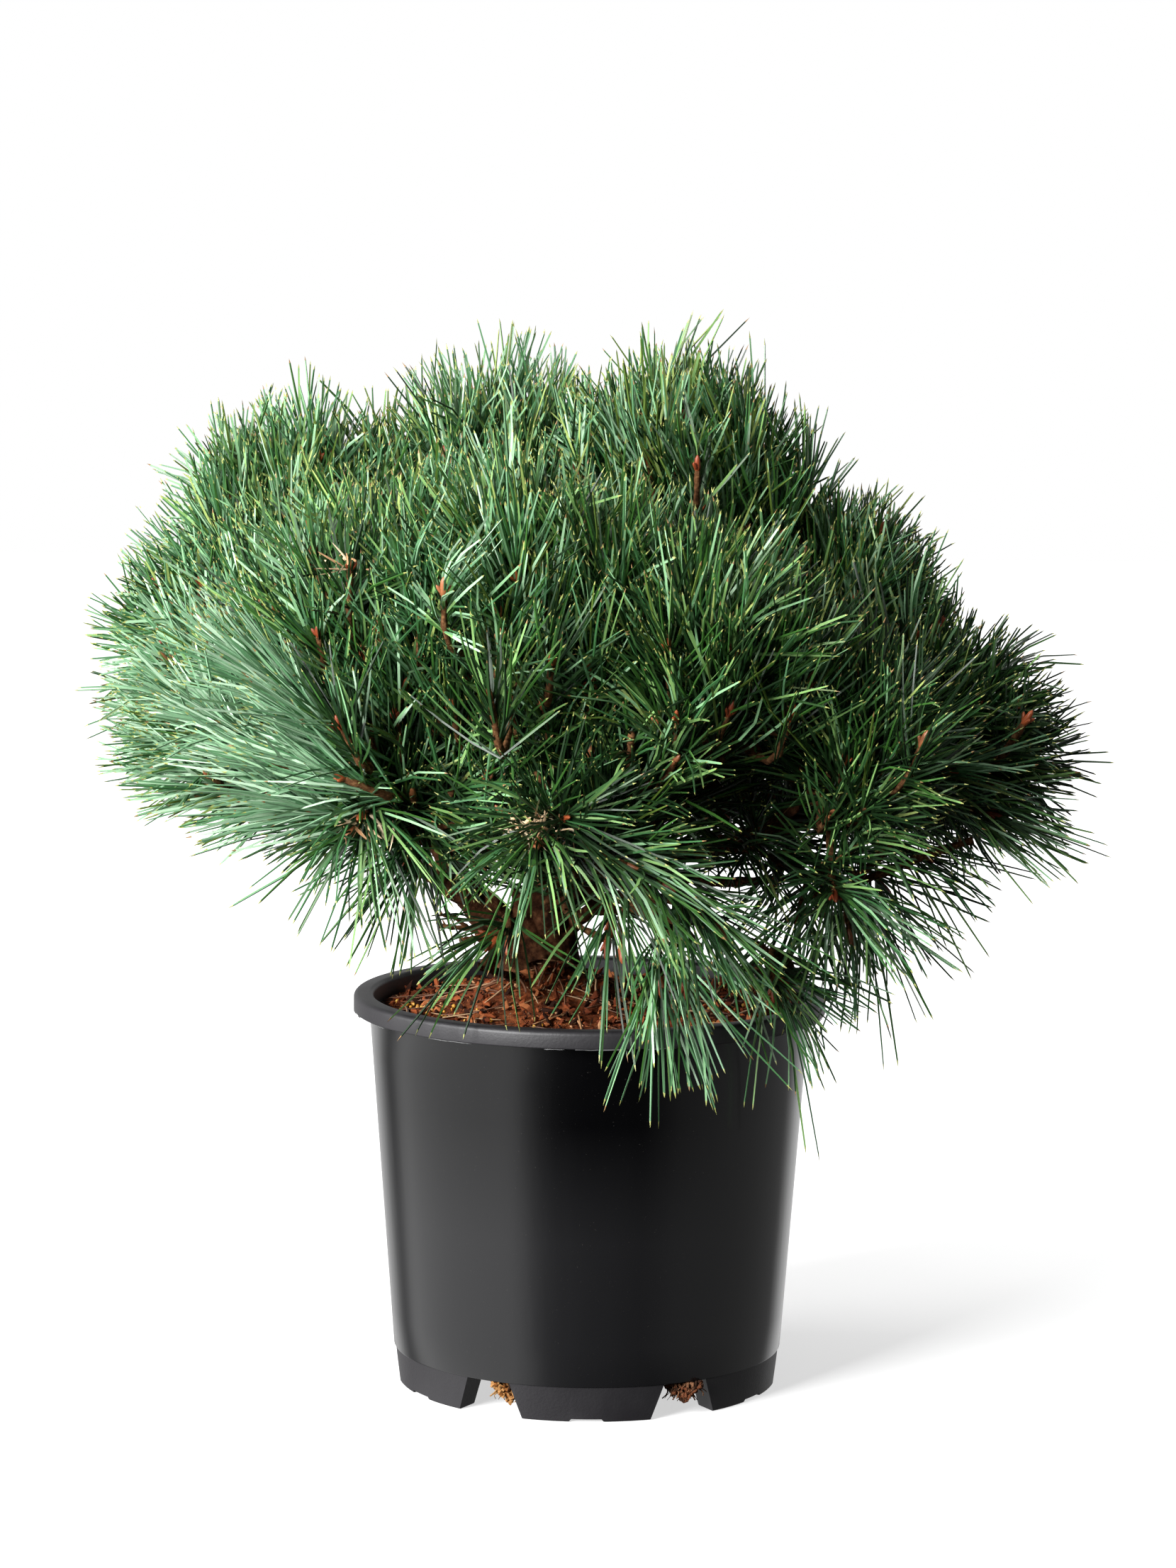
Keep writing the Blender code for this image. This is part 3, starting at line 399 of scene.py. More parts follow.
# Twigs without needles: the points that each passes, and its radius. Their stubs are in shares of it.
BARE_TWIGS = [
    (((-0.050, -0.012, 0.262), (-0.066, -0.026, 0.268), (-0.076, -0.032, 0.2675)), 0.0019),
    (((-0.050, -0.014, 0.262), (-0.070, -0.024, 0.273), (-0.088, -0.032, 0.276)), 0.0018),
    (((-0.072, -0.026, 0.274), (-0.080, -0.030, 0.281), (-0.088, -0.034, 0.283)), 0.0013),
    (((-0.020, -0.030, 0.300), (-0.018, -0.060, 0.296), (-0.008, -0.072, 0.283),
      (0.012, -0.080, 0.274)), 0.0022),
    (((0.000, -0.100, 0.345), (0.012, -0.150, 0.336), (0.034, -0.158, 0.315),
      (0.054, -0.160, 0.306)), 0.0021),
    (((0.034, -0.158, 0.315), (0.037, -0.160, 0.295), (0.039, -0.162, 0.274)), 0.0018),
    (((0.128, -0.066, 0.300), (0.160, -0.076, 0.312), (0.190, -0.080, 0.326),
      (0.219, -0.084, 0.336)), 0.0026),
    (((0.150, -0.080, 0.310), (0.168, -0.090, 0.330), (0.182, -0.094, 0.350),
      (0.197, -0.092, 0.366)), 0.0023),
]
BARE_STATIONS = 12
BARE_KNOTS = (0.85, 1.30)
STUB_ANGLE, STUB_LENGTH = 62, 2.3

# The two stems of the trunk, each a list of (offset from the trunk's foot, radius) from its foot to its fork
STEMS = {
    "right_stem": [
        ((0.007, 0.002, 0.000), 0.0165),
        ((0.008, 0.002, 0.014), 0.0140),
        ((0.007, 0.003, 0.034), 0.0125),
        ((0.004, 0.005, 0.052), 0.0165),
        ((0.006, 0.007, 0.068), 0.0160),
        ((0.010, 0.008, 0.082), 0.0105),
    ],
    "left_stem": [
        ((-0.010, 0.000, 0.000), 0.0160),
        ((-0.014, 0.000, 0.014), 0.0130),
        ((-0.022, 0.001, 0.034), 0.0115),
        ((-0.034, 0.002, 0.052), 0.0120),
        ((-0.048, 0.004, 0.066), 0.0095),
    ],
}

# How each mass's needles sweep, where they all lean one way: a way and how strongly
SWEEPS = {
    "left_low": ((-0.95, -0.15, 0.30), 1.25),
    "left_side": ((-0.80, -0.10, 0.45), 0.45),
    "left_back_low": ((-0.85, 0.30, 0.10), 0.40),
    "crest": ((-0.90, -0.10, 0.30), 0.28),
    "right_side": ((0.85, -0.10, 0.10), 0.28),
}

# Needle greens, each as (rounded face, flat face), from the deepest to the palest, and last the yellower one.
# The flat face is paler partly for its real waxy bands and partly as painted highlight, the rounded face
# deeper partly as painted shade
GREENS = {
    "deep": ((0.005, 0.023, 0.004), (0.028, 0.080, 0.020)),
    "fresh": ((0.032, 0.106, 0.016), (0.175, 0.330, 0.100)),
    "sea": ((0.036, 0.122, 0.038), (0.205, 0.395, 0.195)),
    "glaucous": ((0.082, 0.205, 0.092), (0.320, 0.520, 0.315)),
    "silver": ((0.190, 0.350, 0.200), (0.455, 0.645, 0.450)),
    "olive": ((0.076, 0.128, 0.018), (0.295, 0.390, 0.110)),
}

# How much paler (or deeper) some masses are painted than their places in the crown say, as painted light and
# shade
PAINTED_LIGHT_SHIFT = {
    "left_low": 1.50, "left_side": 0.20, "left_shoulder": -0.80, "front_left": -0.30, "front_right": -0.70,
    "crest": 0.20, "right_shoulder": 0.20, "right_side": -0.50, "right_front": -0.75, "low_centre": -1.30,
    "low_left": -0.70, "low_right": -0.20, "droop_front": 0.15, "foot_left": -0.60,
}

# How far short of the source's reach some masses' needles end, as in the photo
PULLED_IN = {
    "left_side": 0.022, "left_shoulder": 0.010, "left_low": 0.014, "left_back_low": 0.018, "crest": 0.004,
    "right_shoulder": 0.022, "right_back": 0.020, "right_side": 0.009, "back_left": 0.012,
    "back_right": 0.014,
}

# How ragged every mass's skin is, and within what limits, and how far forward needles may reach
RAGGEDNESS = 0.012
RAGGED_LIMITS = (-0.020, 0.012)
FRONT = -0.259

# The dark hollows between the tiers of the crown's front, as (middle, radius): no needle ends in them
HOLLOWS = [
    ((-0.076, -0.200, 0.392), 0.034), ((-0.142, -0.150, 0.489), 0.026), ((0.088, -0.190, 0.382), 0.027),
    ((0.103, -0.080, 0.530), 0.032), ((-0.178, -0.120, 0.462), 0.022),
]

# The share of yellower needles, and how it grows with the height above a level
OLIVE_SHARE = 0.05
OLIVE_RISE = 0.9
OLIVE_FROM = 0.44

TIP_GOLD = (0.330, 0.350, 0.100)
TIP_BROWN = (0.260, 0.150, 0.055)


def deselect():
    bpy.ops.object.select_all(action="DESELECT")


def pick(obj):
    """Makes this the only selected object, and the active one."""
    deselect()
    obj.select_set(True)
    bpy.context.view_layer.objects.active = obj


def set_mode(mode):
    bpy.ops.object.mode_set(mode=mode)


def apply_modifier(obj, kind, **settings):
    pick(obj)
    step = obj.modifiers.new(kind.title(), kind)
    for name, value in settings.items():
        setattr(step, name, value)
    bpy.ops.object.modifier_apply(modifier=step.name)


def place_in_mesh(obj):
    """Moves the object's place, turn and scale into its mesh."""
    pick(obj)
    bpy.ops.object.transform_apply(location=True, rotation=True, scale=True)


def new_object(name, data):
    """Puts a mesh, curve, lamp or camera in the scene."""
    obj = bpy.data.objects.new(name, data)
    bpy.context.scene.collection.objects.link(obj)
    return obj


def settle(obj, name, looks, nodes=()):
    """Names a finished piece, gives it its materials, and ties it to the frame."""
    obj.name = name
    obj.data.name = name
    for look in looks:
        obj.data.materials.append(look)
    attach(obj, "root")
    if nodes:
        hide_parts(*nodes)


def rgba(colour):
    """Three numbers or one grey as Blender's four numbers."""
    return (*colour, 1) if np.ndim(colour) else (colour, colour, colour, 1)


def is_socket(value):
    return isinstance(value, bpy.types.NodeSocket)


class Nodes:
    """A tree of shader nodes, and short ways to add to it. An input is a socket, or a value to set."""

    def __init__(self, tree):
        self.tree = tree

    def feed(self, node, inputs):
        for name, value in inputs.items():
            if is_socket(value):
                self.tree.links.new(value, node.inputs[name])
            else:
                node.inputs[name].default_value = value

    def add(self, kind, inputs, output=0, **settings):
        """Adds a node, feeds it, and returns one of its outputs."""
        node = self.tree.nodes.new("ShaderNode" + kind)
        for name, value in settings.items():
            setattr(node, name, value)
        self.feed(node, inputs)
        return node.outputs[output]

    def axis(self, name, kind="Object"):
        """One of the three coordinates."""
        return self.add("SeparateXYZ", {"Vector": self.add("TexCoord", {}, kind)}, name)

    def stretched(self, stretch):
        """Object coordinates, with the pattern on them squeezed along each axis."""
        return self.add("Mapping", {"Vector": self.add("TexCoord", {}, "Object"), "Scale": stretch})

    def noise(self, scale, detail=6.0, stretch=(1, 1, 1), roughness=0.55):
        inputs = {"Vector": self.stretched(stretch), "Scale": scale, "Detail": detail, "Roughness": roughness}
        return self.add("TexNoise", inputs, "Fac")

    def ramp(self, value, stops):
        """Colours dealt out along a value, from stops of (position, colour)."""
        made = self.add("ValToRGB", {"Fac": value}, "Color")
        stripes = made.node.color_ramp.elements
        stripes.remove(stripes[1])
        stripes[0].position = stops[0][0]
        stripes[0].color = rgba(stops[0][1])
        for position, colour in stops[1:]:
            stripes.new(position).color = rgba(colour)
        return made

    def spread(self, value, low, high, first=0, last=1):
        """A value carried from the range first to last to the range low to high."""
        ends = {"From Min": first, "From Max": last, "To Min": low, "To Max": high}
        return self.add("MapRange", {"Value": value, **ends}, "Result")

    def mix(self, share, one, other, blend="MIX"):
        """Two colours mixed by a share."""
        one, other = (colour if is_socket(colour) else rgba(colour) for colour in (one, other))
        return self.add("Mix", {0: share, 6: one, 7: other}, 2, data_type="RGBA", blend_type=blend)

    def bump(self, height, distance, strength=1.0):
        return self.add("Bump", {"Distance": distance, "Strength": strength, "Height": height}, "Normal")


class Look(Nodes):
    """A material with a Principled shader."""

    def __init__(self, name, roughness=0.5, colour=0.5):
        self.material = bpy.data.materials.new(name)
        self.material.use_nodes = True
        super().__init__(self.material.node_tree)
        self.shader = self.tree.nodes["Principled BSDF"]
        level = GLOSSY_LEVEL if roughness < MATT_FROM else MATT_LEVEL
        self.finished({"Roughness": roughness, "Specular IOR Level": level, "Base Color": rgba(colour)})

    def finished(self, inputs):
        """Feeds the shader and returns the material."""
        self.feed(self.shader, inputs)
        return self.material


def glossy_black_plastic():
    """The wall's plastic: near black, glossy, with faint vertical drag marks, dust specks and a painted floor
    reflection low down.
    """
    look = Look("glossy_black_plastic")
    dust = look.noise(900, 2)
    clean = look.ramp(look.noise(14, 4), [(0.30, (0.0006, 0.0006, 0.0008)), (0.75, (0.0014, 0.0014, 0.0017))])
    # Painted reflection: the wall is greyer towards its foot, as if it mirrored the pale floor
    low = look.ramp(look.axis("Z"), [(FLOOR_REFLECTION_FULL_BELOW, 1), (FLOOR_REFLECTION_NONE_ABOVE, 0)])
    specks = look.ramp(dust, [(0.71, 0), (0.79, 1)])
    dusty = look.ramp(dust, [(0.0, 0.004), (1.0, (0.036, 0.034, 0.031))])
    return look.finished({
        "Base Color": look.mix(specks, look.mix(low, clean, PAINTED_FLOOR_REFLECTION), dusty),
        "Roughness": look.spread(look.noise(60, 5, (1, 1, 0.06)), 0.10, 0.24),
        "Normal": look.bump(look.noise(34, 3, (1, 1, 0.25)), 0.0004, 0.35),
    })


def matt_black_plastic():
    """The rim and the foot band: the same plastic with a fine grain and a greyer bloom."""
    look = Look("matt_black_plastic")
    clouds = look.noise(26, 6)
    return look.finished({
        "Base Color": look.ramp(clouds, [(0.25, (0.009, 0.008, 0.010)), (0.80, (0.018, 0.017, 0.019))]),
        "Roughness": look.spread(clouds, 0.40, 0.58),
        "Normal": look.bump(look.noise(620, 4), 0.0002, 0.6),
    })


def torn_plastic():
    """The thin mould flash along the rim's lower edge, paler where the light catches its torn edge."""
    look = Look("torn_plastic")
    stops = [(0.3, (0.030, 0.030, 0.032)), (0.7, 0.16)]
    return look.finished({"Base Color": look.ramp(look.noise(220, 3), stops)})


def peat_and_bark():
    """The soil bed: red-brown composted bark with black peat in its hollows and straw-coloured fibres."""
    look = Look("peat_and_bark", 0.92)
    ground = [(0.32, (0.016, 0.005, 0.003)), (0.47, (0.110, 0.028, 0.010)), (0.60, (0.270, 0.076, 0.025)),
              (0.74, (0.430, 0.185, 0.078))]
    fibres = look.noise(420, 6, (1.0, 0.3, 1.0), 0.7)
    straw = look.ramp(fibres, [(0.56, (0.120, 0.050, 0.024)), (0.70, (0.480, 0.320, 0.190))])
    share = look.ramp(fibres, [(0.56, 0), (0.66, 1)])
    return look.finished({
        "Base Color": look.mix(share, look.ramp(look.noise(120, 9, roughness=0.7), ground), straw),
        "Normal": look.bump(look.noise(380, 8, roughness=0.7), 0.0012, 0.9),
    })


def pine_bark():
    """Young Scots pine bark: grey-brown scales with orange-brown skin between them, and painted shade in the
    cracks.
    """
    look = Look("pine_bark", 0.88)
    skin = [(0.28, (0.012, 0.005, 0.003)), (0.45, (0.060, 0.023, 0.010)), (0.60, (0.165, 0.068, 0.029)),
            (0.76, (0.350, 0.185, 0.095))]
    place = look.stretched((1, 1, 0.6))
    scales = look.add("TexVoronoi", {"Vector": place, "Scale": 210}, "Distance", feature="F1")
    # Painted shade: the bark is darkened along the cracks between its scales
    shaded_cracks = look.ramp(scales, [(0.25, 1.0), (0.75, (0.16, 0.10, 0.07))])
    return look.finished({
        "Base Color": look.mix(0.8, look.ramp(look.noise(150, 8, roughness=0.68), skin), shaded_cracks, "MULTIPLY"),
        "Normal": look.bump(look.noise(520, 7, roughness=0.7), 0.0014, 0.9),
    })


def twig_bark():
    """Twigs: orange-brown, ringed with the scars of old needle bundles."""
    look = Look("twig_bark", 0.86)
    stops = [(0.30, (0.030, 0.013, 0.006)), (0.52, (0.115, 0.050, 0.020)), (0.74, (0.260, 0.135, 0.058))]
    return look.finished({
        "Base Color": look.ramp(look.noise(430, 5), stops),
        "Normal": look.bump(look.noise(900, 3), 0.0005, 0.8),
    })


def studio_white():
    """The floor's matt white, which glows a little, and more far from the pot, so that no horizon shows."""
    look = Look("studio_white", 0.9, 0.62)
    far = look.add("VectorMath", {0: look.add("TexCoord", {}, "Object")}, "Value", operation="LENGTH")
    glow = look.spread(far, 0.60, 1.0, 0.35, 1.6)
    return look.finished({"Emission Strength": glow, "Emission Color": rgba(1)})


def plain(name, colour, roughness=0.5):
    """One of the base colours that are dealt out over thousands of small things."""
    return Look(name, roughness, colour).material


def shades(name, colours, roughness):
    return [plain(f"{name}_{index}", colour, roughness) for index, colour in enumerate(colours)]


def two_faced(name, colours, painted_shade_factor, roughness):
    """A copy of each colour dimmed as painted shade for the rounded face, and a plain one for the flat face.
    """
    looks = []
    for index, colour in enumerate(colours):
        looks.append(plain(f"{name}_round_{index}", [part * painted_shade_factor for part in colour], roughness))
        looks.append(plain(f"{name}_flat_{index}", colour, roughness))
    return looks


def needle_looks():
    """The slots that every mass shares: both faces of each waxy green, the rounded one partly in painted
    shade, then two colours of tip.
    """
    looks = []
    for name, faces in GREENS.items():
        for face, colour in zip(("round", "flat"), faces):
            look = Look(f"{name}_{face}", NEEDLE_ROUGHNESS, colour)
            looks.append(look.finished({"Specular IOR Level": NEEDLE_GLOSS}))
    return looks + [plain("needle_tip_gold", TIP_GOLD), plain("needle_tip_brown", TIP_BROWN, 0.6)]


def turned_outline():
    """The pot's outline as (radius, height), from under its floor up the wall, over the rim and inside."""

    def arc(radius, height, size, first, last, steps):
        for step in range(steps + 1):
            turn = math.radians(first + (last - first) * step / steps)
            yield radius + size * math.cos(turn), height + size * math.sin(turn)

    edge, lip = FOOT_EDGE_ROUND, RIM_LIP_ROUND
    outline = [(0, FOOT_HEIGHT), (FOOT_INSIDE, FOOT_HEIGHT)]
    outline += arc(FOOT_INSIDE + edge, edge, edge, 180, 270, 3)
    outline += arc(FOOT_BOTTOM_RADIUS - edge, edge, edge, -90, 0, 3)
    outline += [(FOOT_TOP_RADIUS, FOOT_HEIGHT - 0.0005), (FOOT_TOP_RADIUS + 0.0002, FOOT_HEIGHT)]
    outline += [(WALL_FOOT_RADIUS - 0.0003, FOOT_HEIGHT + 0.0002), (WALL_FOOT_RADIUS, FOOT_HEIGHT + 0.0008)]
    low, high = FOOT_HEIGHT + 0.0008, RIM_FOOT - 0.0012
    for level in range(1, WALL_LEVELS + 1):
        share = level / WALL_LEVELS
        radius = WALL_FOOT_RADIUS + (WALL_TOP_RADIUS - WALL_FOOT_RADIUS) * share
        outline.append((radius, low + (high - low) * share))
    outline += [(WALL_TOP_RADIUS + 0.0004, RIM_FOOT - 0.0004), (WALL_TOP_RADIUS + 0.0013, RIM_FOOT)]
    outline += arc(RIM_RADIUS - lip, RIM_FOOT + lip, lip, -90, 0, 3)
    outline += arc(RIM_RADIUS - RIM_ROUND, POT_HEIGHT - RIM_ROUND, RIM_ROUND, 0, 90, 7)
    outline += arc(WALL_INSIDE + RIM_ROUND, POT_HEIGHT - RIM_ROUND, RIM_ROUND, 90, 180, 6)
    outline += [(WALL_INSIDE - 0.0006, RIM_FOOT - 0.004), (WALL_FOOT_RADIUS - WALL, FOOT_HEIGHT + WALL)]
    return outline + [(0, FOOT_HEIGHT + WALL)]


def spin_outline(outline, steps):
    """Draws an outline point by point by extruding one vertex, then spins it into a closed body."""
    deselect()
    bpy.ops.mesh.primitive_plane_add(size=0.001)
    obj = bpy.context.object
    set_mode("EDIT")
    bpy.ops.mesh.merge(type="CENTER")
    before = (0, 0)
    for index, (radius, height) in enumerate(outline):
        step = (radius - before[0], 0, height - before[1])
        if index == 0:
            bpy.ops.transform.translate(value=step)
        else:
            bpy.ops.mesh.extrude_region_move(TRANSFORM_OT_translate={"value": step})
        before = (radius, height)
    bpy.ops.mesh.select_all(action="SELECT")
    bpy.ops.mesh.spin(steps=steps, angle=math.tau, center=(0, 0, 0), axis=(0, 0, 1))
    bpy.ops.mesh.select_all(action="SELECT")
    bpy.ops.mesh.remove_doubles(threshold=0.00002)
    bpy.ops.mesh.normals_make_consistent(inside=False)
    set_mode("OBJECT")
    return obj


def block(half_low, half_high, low, high, near, far):
    """A cutter in front of the pot's axis: a cube whose lower end is drawn wider or narrower."""
    deselect()
    bpy.ops.mesh.primitive_cube_add(size=1, location=(0, -(near + far) / 2, (low + high) / 2))
    cutter = bpy.context.object
    cutter.scale = (2 * half_high, far - near, high - low)
    place_in_mesh(cutter)
    for vert in cutter.data.vertices:
        vert.select = vert.co.z < (low + high) / 2
    for group in (cutter.data.edges, cutter.data.polygons):
        for part in group:
            part.select = all(cutter.data.vertices[i].select for i in part.vertices)
    set_mode("EDIT")
    bpy.ops.transform.resize(value=(half_low / half_high, 1, 1))
    set_mode("OBJECT")
    return cutter


def cut_round(obj, cutter, first_turn):
    """Cuts one cutter out of the object at each of the six feet, or between them."""
    copies = []
    for index in range(FOOT_COUNT):
        copy = new_object("cutter", cutter.data.copy())
        copy.rotation_euler.z = first_turn + index * math.tau / FOOT_COUNT
        copies.append(copy)
    bpy.data.objects.remove(cutter)
    deselect()
    for copy in copies:
        copy.select_set(True)
    bpy.context.view_layer.objects.active = copies[0]
    bpy.ops.object.join()
    joined = bpy.context.object
    place_in_mesh(joined)
    apply_modifier(obj, "BOOLEAN", operation="DIFFERENCE", solver="EXACT", object=joined)
    bpy.data.objects.remove(joined)


def make_pot():
    """The round nursery pot: rolled rim, six toes, notches between them and drain holes above those."""
    pot = spin_outline(turned_outline(), POT_STEPS)
    between = math.pi / FOOT_COUNT
    near, far = FOOT_INSIDE - CUTTER_MARGIN, FOOT_BOTTOM_RADIUS - CUTTER_MARGIN
    cut_round(pot, block(NOTCH_HALF_BOTTOM, NOTCH_HALF_TOP, -0.001, FOOT_HEIGHT, near, RIM_RADIUS), between)
    half, low, high = DRAIN_WIDTH / 2, FOOT_HEIGHT - 0.002, FOOT_HEIGHT + WALL + 0.002
    cut_round(pot, block(half, half, low, high, far - DRAIN_LENGTH, far), between)
    half = TOE_RECESS_HALF
    cut_round(pot, block(half, half * 0.8, -0.001, TOE_RECESS_HEIGHT, near, RIM_RADIUS), 0)
    pick(pot)
    bpy.ops.object.shade_smooth_by_angle(angle=math.radians(32))
    settle(pot, "nursery_pot", [glossy_black_plastic(), matt_black_plastic()], ["pot"])
    for face in pot.data.polygons:
        matt = face.center.z > RIM_FOOT - 0.0011 or face.center.z < FOOT_HEIGHT + 0.0001
        face.material_index = 1 if matt else 0


def soil_height(x, y):
    """The height of the soil's mound at a place."""
    rise = max(0.0, 1 - (math.hypot(x, y) / (WALL_INSIDE - 0.002)) ** 2)
    near_trunk = max(0.0, 1 - math.hypot(x - TRUNK_FOOT.x, y - TRUNK_FOOT.y) / TRUNK_RISE_RADIUS)
    span = math.hypot(x - ROOT_MOUND_CENTRE[0], y - ROOT_MOUND_CENTRE[1])
    mound = ROOT_MOUND * max(0.0, 1 - span / ROOT_MOUND_RADIUS) ** 1.3
    swell = min(1.0, 0.75 * rise + 0.45 * near_trunk)
    return SOIL_EDGE_HEIGHT + (SOIL_TOP - SOIL_EDGE_HEIGHT) * swell + mound


def close_down(obj, radius, height):
    """Extrudes the open edge of a round sheet down to a smaller, level ring and fills it."""
    shrink = radius / max(math.hypot(v.co.x, v.co.y) for v in obj.data.vertices)
    pick(obj)
    set_mode("EDIT")
    bpy.ops.mesh.select_all(action="DESELECT")
    bpy.ops.mesh.select_mode(type="EDGE")
    bpy.ops.mesh.select_non_manifold()
    bpy.ops.mesh.extrude_region_move(TRANSFORM_OT_translate={"value": (0, 0, height - SOIL_EDGE_HEIGHT)})
    bpy.ops.transform.resize(value=(shrink, shrink, 1))
    bpy.ops.mesh.edge_face_add()
    bpy.ops.mesh.select_all(action="SELECT")
    bpy.ops.mesh.normals_make_consistent(inside=False)
    set_mode("OBJECT")


def make_soil():
    """The bed of soil: a disc extruded inwards ring by ring, mounded, roughened and closed below."""
    deselect()
    edge_radius = WALL_INSIDE - 0.0014
    middle = (0, 0, SOIL_EDGE_HEIGHT)
    bpy.ops.mesh.primitive_circle_add(vertices=SOIL_STEPS, radius=edge_radius, location=middle)
    bed = bpy.context.object
    place_in_mesh(bed)
    set_mode("EDIT")
    bpy.ops.mesh.select_all(action="SELECT")
    for ring in range(SOIL_RINGS - 1):
        shrink = 1 - 1 / (SOIL_RINGS - ring)
        bpy.ops.mesh.extrude_region_move()
        bpy.ops.transform.resize(value=(shrink, shrink, 1))
    bpy.ops.mesh.extrude_region_move()
    bpy.ops.mesh.merge(type="CENTER")
    set_mode("OBJECT")
    for vert in bed.data.vertices:
        vert.co.z = soil_height(vert.co.x, vert.co.y)
    inner = [v.index for v in bed.data.vertices if math.hypot(v.co.x, v.co.y) < edge_radius * 0.985]
    bed.vertex_groups.new(name="top").add(inner, 1.0, "ADD")
    for size, strength in SOIL_LUMPS:
        lumps = bpy.data.textures.new("lumps", "CLOUDS")
        lumps.noise_scale = size
        lumps.noise_depth = 3
        relief = {"texture": lumps, "strength": strength, "mid_level": 0.55}
        apply_modifier(bed, "DISPLACE", direction="Z", vertex_group="top", **relief)
    close_down(bed, WALL_FOOT_RADIUS - WALL - 0.0012, FOOT_HEIGHT + WALL + GAP)
    pick(bed)
    bpy.ops.object.shade_smooth_by_angle(angle=math.radians(60))
    settle(bed, "soil_bed", [peat_and_bark()], ["soil"])


def unit(rows):
    """The rows of an array, each made one long."""
    return rows / np.linalg.norm(rows, axis=-1, keepdims=True)


def template(add, **sizes):
    """The points and faces of a primitive, as arrays, to be copied many times."""
    deselect()
    add(**sizes)
    obj = bpy.context.object
    points = np.array([v.co for v in obj.data.vertices])
    faces = [tuple(face.vertices) for face in obj.data.polygons]
    bpy.data.objects.remove(obj)
    return points, faces


def pebble(detail):
    return template(bpy.ops.mesh.primitive_ico_sphere_add, subdivisions=detail, radius=0.5)


def joined_mesh(points, loops, lengths, slots, smooth=True):
    """One object from arrays of points, face corners, corners in each face, and material slots."""
    mesh = bpy.data.meshes.new("joined")
    mesh.vertices.add(len(points))
    mesh.vertices.foreach_set("co", np.asarray(points, np.float32).ravel())
    mesh.loops.add(len(loops))
    mesh.loops.foreach_set("vertex_index", np.asarray(loops, np.int32))
    mesh.polygons.add(len(lengths))
    starts = np.concatenate([[0], np.cumsum(lengths)[:-1]])
    mesh.polygons.foreach_set("loop_start", starts.astype(np.int32))
    mesh.polygons.foreach_set("material_index", np.asarray(slots, np.int32))
    mesh.polygons.foreach_set("use_smooth", np.full(len(lengths), smooth))
    mesh.update(calc_edges=True)
    return new_object("joined", mesh)


def repeated(corners, count, size):
    """The face corners of a shape with this many points, for each of its copies."""
    return (np.array(corners)[None] + (np.arange(count) * size)[:, None]).ravel()


def strew(shape, places, turns, scales, tones, smooth=False, jitter=0.0):
    """Copies one small shape to many places, each with its own turn, scale and tone, as one joined mesh."""
    points, faces = shape
    count = len(places)
    dice = np.random.default_rng(1)
    own = points[None] * (1 + dice.uniform(-jitter, jitter, (count, len(points), 1)))
    own = np.einsum("nij,nmj->nmi", turns, own * scales[:, None, :]) + places[:, None, :]
    loops = repeated(np.concatenate(faces), count, len(points))
    sizes = np.tile([len(face) for face in faces], count)
    return joined_mesh(own.reshape(-1, 3), loops, sizes, np.repeat(tones, len(faces)), smooth)


def random_turns(dice, count):
    """Evenly spread random rotations, as matrices."""
    w, x, y, z = unit(dice.normal(size=(count, 4))).T
    rows = [
        [1 - 2 * (y * y + z * z), 2 * (x * y - z * w), 2 * (x * z + y * w)],
        [2 * (x * y + z * w), 1 - 2 * (x * x + z * z), 2 * (y * z - x * w)],
        [2 * (x * z - y * w), 2 * (y * z + x * w), 1 - 2 * (x * x + y * y)],
    ]
    return np.array(rows).transpose(2, 0, 1)


def spots_on_soil(dice, count, centre=(0, 0), radius=None):
    """Random (x, y) on the soil, round a centre if one is given, clear of the trunk and inside the wall."""
    most = WALL_INSIDE - CLEAR_OF_WALL
    found = []
    while len(found) < count:
        if radius:
            x, y = np.array(centre) + dice.normal(size=2) * radius
        else:
            out, turn = most * math.sqrt(dice.uniform()), dice.uniform(0, math.tau)
            x, y = out * math.cos(turn), out * math.sin(turn)
        from_trunk = math.hypot(x - TRUNK_FOOT.x, y - TRUNK_FOOT.y)
        if math.hypot(x, y) < most and from_trunk > CLEAR_OF_TRUNK:
            found.append((x, y))
    return found


def make_crumbs():
    """Loose crumbs and flakes of composted bark on the soil, in plain browns."""
    dice = np.random.default_rng(11)
    spots = spots_on_soil(dice, CRUMB_COUNT)
    size = CRUMB_SMALLEST + CRUMB_GROWTH * dice.uniform(size=CRUMB_COUNT) ** CRUMB_RARITY
    places = np.array([(x, y, soil_height(x, y)) for x, y in spots])
    places[:, 2] += size * 0.25 + 0.0006
    flatness = [dice.uniform(low, high, CRUMB_COUNT) for low, high in ((0.7, 2.2), (0.5, 1.0), (0.2, 0.6))]
    tones = dice.choice(len(CRUMB_BROWNS), CRUMB_COUNT, p=(0.28, 0.32, 0.24, 0.11, 0.05))
    scales = size[:, None] * np.stack(flatness, axis=1)
    crumbs = strew(pebble(1), places, random_turns(dice, CRUMB_COUNT), scales, tones, jitter=0.35)
    settle(crumbs, "bark_crumbs", shades("bark_crumb", CRUMB_BROWNS, 0.9))


def make_feed():
    """Golden beads of slow feed, scattered in a few clusters."""
    dice = np.random.default_rng(12)
    spots = []
    for centre, radius, share in FEED_CLUSTERS:
        spots += spots_on_soil(dice, round(FEED_COUNT * share), centre, radius)
    count = len(spots)
    size = dice.uniform(*FEED_SIZES, count)
    places = np.array([(x, y, soil_height(x, y) + 0.0016) for x, y in spots])
    tones = dice.choice(3, count, p=(0.5, 0.3, 0.2))
    scales = size[:, None] * np.ones(3)
    beads = strew(pebble(2), places, random_turns(dice, count), scales, tones, smooth=True)
    settle(beads, "feed_beads", shades("feed_bead", FEED_GOLDS, 0.35))


